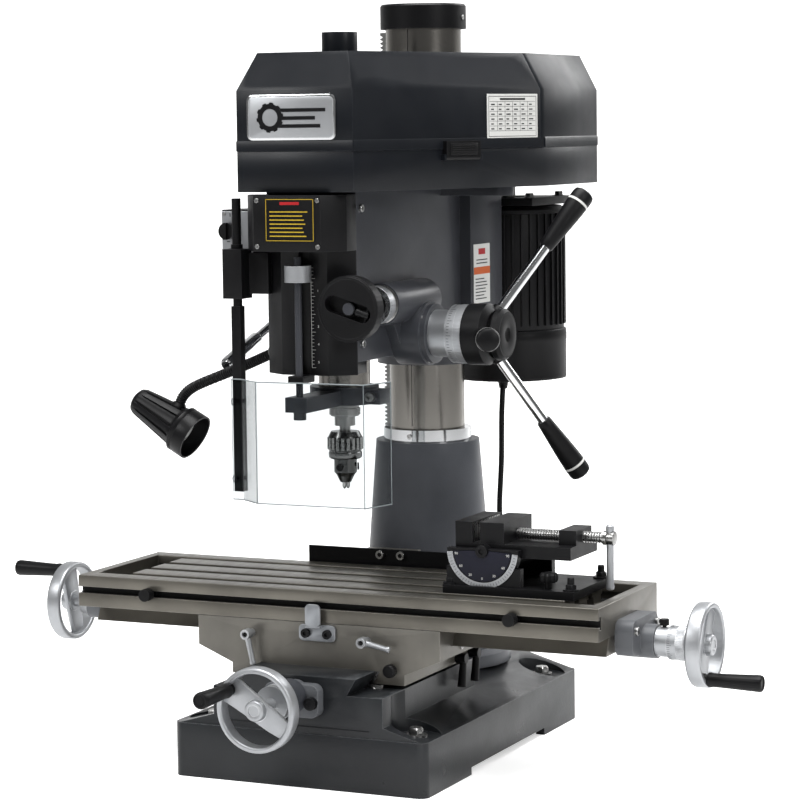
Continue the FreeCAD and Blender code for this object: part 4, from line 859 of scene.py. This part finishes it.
def cover_details():
    plate("nameplate_rim", (-73, -268, 908), 138, 63, 9, 2.4, "chrome", "lid")
    plate("nameplate", (-70, -270.2, 911), 132, 57, 7, 0.8, "aluminium", "lid")
    icon = (-36, -271, 939.5)
    lathe("nameplate_icon", icon, FRONT, [(12, -0.2), (12, 0.5), (19, 0.5), (19, -0.2)],
          "black", "lid", 96, lambda a, i: 1 + 0.1 * (math.cos(10 * a) > 0) if i > 1 else 1.0)
    bars = [(46, 36, 74, 5), (46, 25, 58, 5), (46, 14, 66, 5)]
    rows("nameplate_bars", (-70, -270.9, 911), ON_FRONT, bars, 0.4, "black", "lid")
    side = Vector((142, 352, 0)).normalized()
    start = Vector((90, -268, 0))
    chart = start + side * 260 + Vector((0, 0, 906))
    label("speed_chart", chart, (side, AXES["Z"]), 104, 64, 0.9, "white", "lid", 0.3)
    print_corner = chart + side.cross(AXES["Z"]) * 0.9
    lines = frame_bars(104, 64, 3, 0.7)
    lines += [(5, 53 - 7 * k, 94, 0.45) for k in range(7)]
    lines += [(5 + 15.6 * k, 11, 0.45, 42) for k in range(1, 6)]
    for row in range(6):
        for column in range(6):
            lines.append((8 + 15.6 * column, 13.2 + 7 * row, random.uniform(5, 9), 1.7))
    lines.append((26, 55.4, 52, 2.6))
    rows("speed_chart_print", print_corner, (side, AXES["Z"]), lines, 0.15, "black", "lid")
    band = [(-0.5, 0), (1.3, 0.4), (1.3, 13.4), (0.3, 15.2), (-0.5, 15.2)]
    bead("lid_band", [(-229, 76), (-90, -268), (90, -268), (229, 76)], LID_SEAM_Z, "lid", band)
    rear = [(232, 84), (232, 300), (150, 500), (-150, 500), (-232, 300), (-232, 84)]
    bead("rear_band", rear, LID_SEAM_Z, "head", band)
    out = Vector((352, -142, 0)).normalized()
    centre = Vector((166.7, -77.9, 892)) + out * 9
    along = Matrix.Rotation(math.atan2(352, 142), 3, "Z")
    block("latch_grip", centre + Vector((-27, -1.1, -8)), centre + Vector((27, 0.6, 9)),
          "plastic", "lid_latch", 1.0, along, centre)
    blocks("latch_ribs", [(centre + Vector((-24, -1.7, 5 - 3 * k)),
                           centre + Vector((24, -0.4, 6.2 - 3 * k))) for k in range(4)],
           "plastic", "lid_latch", 0.3, along, centre)
    lathe("drawbar_cap_top", (0, -121, 1059.2), "Z",
          [(24.5, 0), (24, 0.7), (20, 0.8), (19.6, 0.3), (2, 0.3)], "cover", "lid", 64)


def bead(name, outline, z, body, section):
    """A rib with a given section (out, up) along an open outline of the cover."""
    mesh = bmesh.new()
    for (x0, y0), (x1, y1) in zip(outline, outline[1:]):
        a, b = Vector((x0, y0, z)), Vector((x1, y1, z))
        along = (b - a).normalized()
        out = Vector((along.y, -along.x, 0))
        if out.dot(Vector((x0 + x1, y0 + y1 - 120, 0))) < 0:
            out = -out
        first = [mesh.verts.new(a + out * u + Vector((0, 0, v))) for u, v in section]
        last = [mesh.verts.new(b + out * u + Vector((0, 0, v))) for u, v in section]
        add_prism(mesh, first, last)
    return finish_mesh(name, mesh, "cover", body)


def front_details():
    label("notice_plate", (-40, -284, 767), ON_FRONT, 78, 62, 0.9, "plastic", "head", 0.3)
    print_corner = (-40, -284.9, 767)
    rows("notice_heading", print_corner, ON_FRONT, [(24, 52, 30, 4)], 0.15, "red", "head")
    lines = frame_bars(78, 62, 2, 0.8)
    for k in range(7):
        lines.append((8, 8 + 5.6 * k, random.uniform(46, 62), 1.5))
    rows("notice_print", print_corner, ON_FRONT, lines, 0.15, "yellow", "head")
    marks = [(11, 5 * k, 6 if k % 5 == 0 else 3.5, 0.45) for k in range(29)]
    marks.append((10.6, 0, 0.45, 140.5))
    rows("depth_scale_marks", (0, -245, 590), ON_FRONT, marks, 0.2, "white", "head")
    for k in range(5):
        number("depth_figure_%d" % k, str(5 - k), 4.6, (21.5, -245.2, 598 + 25 * k), "white",
               "head")
    lathe("depth_nut_knurl", (0, -264, 711), "Z",
          [(5.1, 0), (17.6, 0), (18.8, 1.2), (18.8, 9.5), (16.5, 10.5), (16.5, 12.5),
           (18.8, 13.5), (18.8, 21.8), (17.6, 23), (5.1, 23), (5.1, 0)], "aluminium",
          "depth_nut", 144, knurl(48, 0.03))
    thread = [(5, 0)]
    for k in range(70):
        thread += [(5.0, 2 * k), (4.5, 2 * k + 0.8), (4.5, 2 * k + 1.2), (5.0, 2 * k + 2)]
    lathe("depth_rod_thread", (0, -264, 595), "Z", thread, "turned", "quill", 24)
    cap_screws("cover_screws", [(x, -284, z) for x in (-52, 42) for z in (761, 825)],
               FRONT, 3.2, 2, "head")
    cap_screws("quill_clamp_screw", [(50, -137, 540)], FRONT, 7, 8, "quill")
    label("switch_plate", (-144, -216, 744), ON_FRONT, 50, 64, 1.4, "aluminium", "head", 0.5)
    rows("switch_marks", (-144, -217.4, 744), ON_FRONT,
         [(13, 56, 1.4, 5), (8, 20, 5, 1.4), (20, 20, 5, 1.4)], 0.2, "black", "head")
    cap_screws("switch_plate_screws", [(x, -217.4, z) for x in (-140, -98) for z in (748, 804)],
               FRONT, 2.6, 1.4, "head")


def side_details():
    label("service_label", (88, 150, 656), ON_RIGHT, 62, 90, 0.8, "white", "head", 0.3)
    print_corner = (88.8, 150, 656)
    rows("service_stripe", print_corner, ON_RIGHT, [(0, 44, 62, 11)], 0.12, "orange", "head")
    rows("service_mark", print_corner, ON_RIGHT, [(18, 74, 26, 9)], 0.12, "red", "head")
    prints = [(6, 6 + 5 * k, random.uniform(28, 48), 1.6) for k in range(7)]
    prints += [(10, 60 + 5 * k, 42, 1.6) for k in range(2)]
    rows("service_print", print_corner, ON_RIGHT, prints, 0.12, "black", "head")
    cap_screws("head_side_screws", [(70, -206, 812), (70, -206, 622)], "X", 5.5, 4, "head")
    cap_screws("feed_housing_screws",
               [(115, -68 + 41 * math.cos(a), 628 + 41 * math.sin(a))
                for a in (0.6, 2.5, 4.4)], "X", 3, 2, "head")
    hex_bolts("column_clamp_bolts", [(-118, 152, z) for z in (612, 646)], (-1, 0, 0), 9, 9,
              "head")
    hex_bolts("head_front_plug", [(-70, -100, 700)], (-1, 0, 0), 10, 8, "head")


def feed_details():
    y, z = FEED
    ring_marks("feed_dial_marks", (153, y, z), "X", 42, 3, 60, 5, "black", "feed", 0.6)
    dial_rim("feed_dial_rim", (165, y, z), "X", 41.6, 42.6, 12, 180, 60, 0.012, "feed")
    lathe("hub_face", (234, y, z), "X", [(30, -1.6), (30, 0.2), (27, 0.8), (12, 0.8), (10, 0),
                                         (1, 0)], "plastic", "feed", 64)
    centre = Vector((194, y, z))
    tilt = math.radians(25)
    for k, degrees in enumerate((32.8, 152.8, 272.8)):
        a = math.radians(degrees)
        way = Vector((math.sin(tilt), math.cos(tilt) * math.sin(a), math.cos(tilt) * math.cos(a)))
        lathe("lever_grip_%d" % k, centre + way * 159, way,
              [(6.1, 0), (9.4, 0), (10.6, 2), (11.4, 12), (14.2, 46), (15.8, 70), (16.3, 84),
               (16.1, 95), (14.8, 99.5), (11, 102), (1, 102.5)], "plastic", "feed", 64)
        lathe("lever_band_%d" % k, centre + way * 239, way,
              [(14, 0), (16.35, 0.3), (16.45, 3.6), (14, 4)], "white", "feed", 64)
        lathe("lever_rod_%d" % k, centre + way * 44, way,
              [(6.1, 0), (7.6, 0.6), (7.6, 115), (6.1, 116)], "chrome", "feed", 36)
        lathe("lever_ferrule_%d" % k, centre + way * 38, way,
              [(6.1, 0), (12, 0), (12, 5), (10.4, 9), (7.5, 10)], "plastic", "feed", 36)
    lathe("fine_dial", (80, -190, 675), "Y",
          [(20, 0), (26.4, 0), (27.2, 0.8), (27.2, 17.2), (26.4, 18), (20, 18), (20, 0)],
          "aluminium", "fine_feed", 72)
    ring_marks("fine_dial_marks", (80, -190, 675), "Y", 27.2, 2, 40, 5, "black", "fine_feed",
               0.5)
    lathe("fine_bearing", (80, -171.6, 675), "Y",
          [(12, 0), (23, 0), (25, 1), (25, 6), (29.6, 7)], "turned", "head", 72)
    lathe("fine_wheel_rim", FINE_WHEEL, "Y",
          [(41, 0.45), (42.4, 0), (44.4, 0), (46.4, 2), (46.4, 18.6), (44.8, 20.6), (41, 20.9),
           (41, 0.45)], "plastic", "fine_feed", 144, knurl(36, 0.006))
    lathe("fine_wheel_hub", (80, -270.2, 675), "Y", [(1, 0), (8, 0), (9.1, 0.8), (9.1, 3)],
          "casting", "fine_feed", 48)
    fold = math.radians(17)
    way = Vector((math.cos(fold), 0, -math.sin(fold)))
    grip = lathe("finger_handle", Vector((80, -267, 675)) + way * 11, way,
                 [(1, 0), (4.2, 0.3), (5.4, 1.6), (5.6, 5), (4.9, 9), (5.4, 14), (5.5, 19.6),
                  (4.6, 21), (1, 21)], "plastic", "fine_feed_handle", 36)
    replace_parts(grip, "fine_handle")


def guard_edges():
    """The sheet's sawn edges catch the light."""
    path = [(-113, -254.7), (-97.5, -254.7), (-59, -284.5), (108.5, -284.5), (122.5, -226)]
    bars = []
    for z in (400, 571.6):
        for (x0, y0), (x1, y1) in zip(path, path[1:]):
            bars.append(((x0, y0, z), (x1, y1, z)))
    for k, (start, end) in enumerate(bars):
        tube("guard_edge_%d" % k, (start, end), 0.9, "frosted", "guard", 6)
    for k, (x, y) in enumerate(path[2:]):
        tube("guard_fold_%d" % k, ((x, y, 400), (x, y, 571.6)), 0.7, "frosted", "guard", 6)


def chuck_details():
    x, y = SPINDLE
    sleeve = lathe("chuck_fluted_sleeve", (x, y, 448), "Z",
                   [(19.1, 0), (21.5, 0), (23.5, 1.4), (24.2, 3), (24.2, 9), (23.4, 10),
                    (23.4, 12), (24.8, 13), (24.8, 31), (24, 33), (20.5, 39.6), (8.2, 40),
                    (8.2, 38.2), (19.1, 38), (19.1, 0)], "chuck_steel", "chuck_sleeve", 96)
    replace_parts(sleeve, "chuck_sleeve")
    mesh = bmesh.new()
    for out in around(20):
        foot = Vector((x, y, 462)) + out * 24.6
        add_spoke(mesh, foot, out, AXES["Z"], (-1, -2.3, 0), (1.4, 2.3, 17))
    ribs = finish_mesh("chuck_sleeve_ribs", mesh, "turned", "chuck_sleeve", smooth=False)
    soften(ribs, 0.7, 2)
    # black rings with a shallow dip stand for the chuck's key holes: painted shade of the holes
    for k, out in enumerate(around(3, 0.5)):
        lathe("chuck_key_hole_shade_%d" % k, Vector((x, y, 436)) + out * 17.2, out,
              [(0.5, 1.6), (3.6, 1.6), (3.6, 2.4), (5, 2.4), (5.4, 1.4), (5.4, 0)], "black",
              "spindle", 24)
    for k, out in enumerate(around(3, 0.4)):
        lathe("chuck_jaw_%d" % k, Vector((x, y, 404)) + out * 3.4, "Z",
              [(1.2, 0), (2.6, 2.5), (3, 4), (3, 10)], "turned", "spindle", 12)
    lathe("quill_nose_ring", (x, y, 526.4), "Z",
          [(15.2, 0), (30, 0), (33, 1), (33, 2.5)], "turned", "quill", 64)
    lathe("spindle_nut", (x, y, 511.5), "Z",
          [(20.5, 0), (22.6, 0.6), (22.6, 10), (20.5, 10.8)], "turned", "spindle", 36,
          lambda a, i: 1 - 0.09 * (math.cos(4 * a) > 0.8) if i in (1, 2) else 1.0)


def motor_details():
    cx, cy = MOTOR
    mesh = bmesh.new()
    for out in around(40):
        foot = Vector((cx, cy, 610)) + out * 86
        add_spoke(mesh, foot, out, AXES["Z"], (0, -1.4, 0), (5.2, 1.4, 176))
    finish_mesh("motor_fins", mesh, "black", "head", smooth=False)
    lathe("fan_shroud", (cx, cy, 523.4), "Z",
          [(86, 0), (89, 0.4), (91.3, 3), (91.3, 60), (91.9, 62), (91.9, 72), (91.3, 74),
           (91.3, 78), (89.5, 79.4)], "black", "head", 96)
    mesh = bmesh.new()
    for ring in (30, 46, 62, 78):
        add_lathe(mesh, (cx, cy, 522.6), "Z",
                  [(ring, 0), (ring + 4, 0), (ring + 4, 1.6), (ring, 1.6), (ring, 0)], 64)
    for k in range(8):
        turn = Matrix.Rotation(math.pi * k / 4, 3, "Z")
        add_block(mesh, (cx + 10, cy - 2, 522.6), (cx + 84, cy + 2, 524.2), turn, (cx, cy, 523))
    finish_mesh("fan_grille", mesh, "plastic", "head")
    lathe("motor_top_bell", (cx, cy, 786), "Z",
          [(88.4, 0), (90.6, 0.6), (90.6, 6), (84, 12), (60, 13.4)], "black", "head", 96)
    label("motor_plate_label", (cx + 30, cy + 104, 690), ((-1, 0, 0), (0, 0, 1)), 60, 40, 0.8,
          "aluminium", "head", 0.3)
    cap_screws("terminal_box_screws", [(cx + dx, cy + 104, z) for dx in (-36, 36)
                                       for z in (665, 755)], "Y", 3.4, 2.4, "head")
    for k, x in enumerate((-10, 30)):
        lathe("tension_stud_%d" % k, (x, 262, 736), "Y",
              [(9, 0), (9, 6), (5, 6.4), (5, 32), (8.6, 32.4), (8.6, 38.5), (4, 39)], "turned",
              "head", 24)
    hex_bolts("motor_mount_bolts", [(cx + dx, cy + dy, 812) for dx in (-62, 62)
                                    for dy in (-62, 62)], "Z", 7, 7, "head")
    drop = smooth_path([(60, 330, 523), (62, 318, 470), (58, 325, 400), (50, 335, 330),
                        (50, 335, 302)], 60)
    tube("cable_sheath", drop, 4.3, "rubber_and_painted_shade", "head", 20)
    lathe("cable_gland", (60, 330, 510), (0.0, 0.0, 1.0),
          [(5, 0), (6.5, 1), (8, 10), (9.5, 10.4), (9.5, 14)], "plastic", "head", 24)


def lamp_and_crank():
    path = smooth_path([(-66, -184, 611), (-118, -183, 589), (-159, -182, 573),
                        (-212, -182, 552), (-232, -182, 537), (-241, -182, 519)], 220)
    neck = tube("lamp_gooseneck", path, 7.4, "plastic", "head", 24, ring_pitch=3.4)
    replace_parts(neck, "work_lamp")
    turn = math.radians(119)
    way = Vector((math.sin(turn), 0, math.cos(turn)))
    top = Vector((-312, -182, 531))
    outside = [(0.5, 0), (9, 0), (13.5, 1.2), (18, 4), (20.6, 9), (22, 18), (30, 78), (31, 82),
               (35, 86), (35, 90), (34.2, 92), (35, 94), (35, 112), (32.5, 112), (32.5, 92),
               (26, 80), (15, 30), (0.5, 30)]
    lathe("lamp_shade", top, way, outside, "black", "head", 192,
          lambda a, i: 1 - 0.13 * (math.cos(12 * a) > 0.45) if i in (5, 6) else 1.0)
    lathe("lamp_bulb", top, way, [(6, 32), (14, 44), (20, 62), (25, 78), (25, 88), (18, 95),
                                  (8, 98), (0.5, 99)], "lens", "head", 64)
    lathe("lamp_socket", (-241, -182, 521), (0.25, 0, 1), [(9.5, -4), (11, -2), (11, 3), (8, 7)],
          "plastic", "head", 36)
    lathe("lamp_gland", (-70, -184, 609.4), (-0.88, 0, -0.4),
          [(14, -2), (14, 5), (11, 6), (10, 15), (7.6, 17)], "turned", "head", 36,
          lambda a, i: hexagonal(a) if i in (0, 1) else 1.0)
    lean = math.radians(108)
    down = Vector((0, -math.sin(lean), math.cos(lean)))
    lathe("crank_grip", Vector((-173, -20, 628)) + down * 44, down,
          [(6.4, 0), (9.2, 0.6), (10, 3), (10, 96), (9, 101), (5, 103.6), (1, 104)], "chrome",
          "lift_crank", 48)
    lathe("crank_collar", (-118, -20, 628), (-1, 0, 0), [(15, -50), (15, 3), (12, 5), (7, 5.4)],
          "casting", "head", 48)


# ---------------------------------------------------------------- stage

def stage():
    """A pale floor that curves up into a white backdrop, so there is no horizon."""
    mesh = bmesh.new()
    profile = [(FLOOR_NEAR, 0.0), (CURVE_START, 0.0)]
    profile += [(CURVE_START + CURVE_RADIUS * math.sin(a),
                 CURVE_RADIUS - CURVE_RADIUS * math.cos(a))
                for a in (math.radians(9 * k) for k in range(1, 11))]
    profile.append((CURVE_START + CURVE_RADIUS, WALL_TOP))
    turn = Matrix.Rotation(math.radians(EYE_ANGLES[0]), 3, "Z")
    sides = (-FLOOR_HALF_WIDTH, FLOOR_HALF_WIDTH)
    rows_of_floor = [[mesh.verts.new(turn @ Vector((x, y, z))) for x in sides]
                     for y, z in profile]
    for near, far in zip(rows_of_floor, rows_of_floor[1:]):
        mesh.faces.new((near[0], near[1], far[1], far[0]))
    data = bpy.data.meshes.new("floor")
    mesh.to_mesh(data)
    mesh.free()
    for polygon in data.polygons:
        polygon.use_smooth = True
    floor = new_object("floor", data)
    material, nodes, links, shader = new_material("floor")
    # a little light of its own keeps the far floor as white as the wall
    set_inputs(shader, Base_Color=(0.93, 0.93, 0.93, 1), Roughness=0.7,
               Emission_Color=(1, 1, 1, 1))
    eye = add_node(nodes, "LightPath")
    glow = add_node(nodes, "Math", "MULTIPLY")
    glow.inputs[1].default_value = FLOOR_GLOW
    links.new(eye.outputs["Is Camera Ray"], glow.inputs[0])
    links.new(glow.outputs[0], shader.inputs["Emission Strength"])
    floor.data.materials.append(material)
    world = bpy.data.worlds.new("studio")
    bpy.context.scene.world = world
    world.use_nodes = True
    nodes, links = world.node_tree.nodes, world.node_tree.links
    background = nodes["Background"]
    set_inputs(background, Color=(1, 1, 1, 1))
    # the eye sees a white room; the object is lit and mirrored by a dimmer one
    path = add_node(nodes, "LightPath")
    strength = add_node(nodes, "MapRange", To_Min=ROOM_LIGHT, To_Max=1.0)
    links.new(path.outputs["Is Camera Ray"], strength.inputs["Value"])
    links.new(strength.outputs["Result"], background.inputs["Strength"])
    for name, place, size, power in LAMPS:
        light = bpy.data.lights.new(name, "AREA")
        light.energy = power
        light.size = size
        obj = new_object(name, light)
        obj.location = place
        toward = Vector((0, 0, 0.5)) - Vector(place)
        obj.rotation_euler = toward.to_track_quat("-Z", "Y").to_euler()


def camera():
    """A long lens at the operator's right, a little above the table, with a slight roll."""
    azimuth, down, roll = (math.radians(v) for v in EYE_ANGLES)
    ahead = Vector((-math.sin(azimuth) * math.cos(down), math.cos(azimuth) * math.cos(down),
                    -math.sin(down)))
    right = Vector((math.cos(azimuth), math.sin(azimuth), 0))
    up = right.cross(ahead)
    turned_right = right * math.cos(roll) + up * math.sin(roll)
    turned_up = up * math.cos(roll) - right * math.sin(roll)
    data = bpy.data.cameras.new("eye")
    data.sensor_width = 36
    data.lens = EYE_LENS
    data.clip_end = 100
    obj = new_object("eye", data)
    turn = Matrix((turned_right, turned_up, -ahead)).transposed().to_4x4()
    obj.matrix_world = Matrix.Translation(Vector(EYE_PLACE)) @ turn
    bpy.context.scene.camera = obj


dress_cad()
handles_and_wheels()
dials()
base_and_column()
saddle_and_table()
vise()
cover_details()
front_details()
side_details()
feed_details()
guard_edges()
chuck_details()
motor_details()
lamp_and_crank()
stage()
camera()
bpy.context.scene.view_settings.view_transform = "Standard"
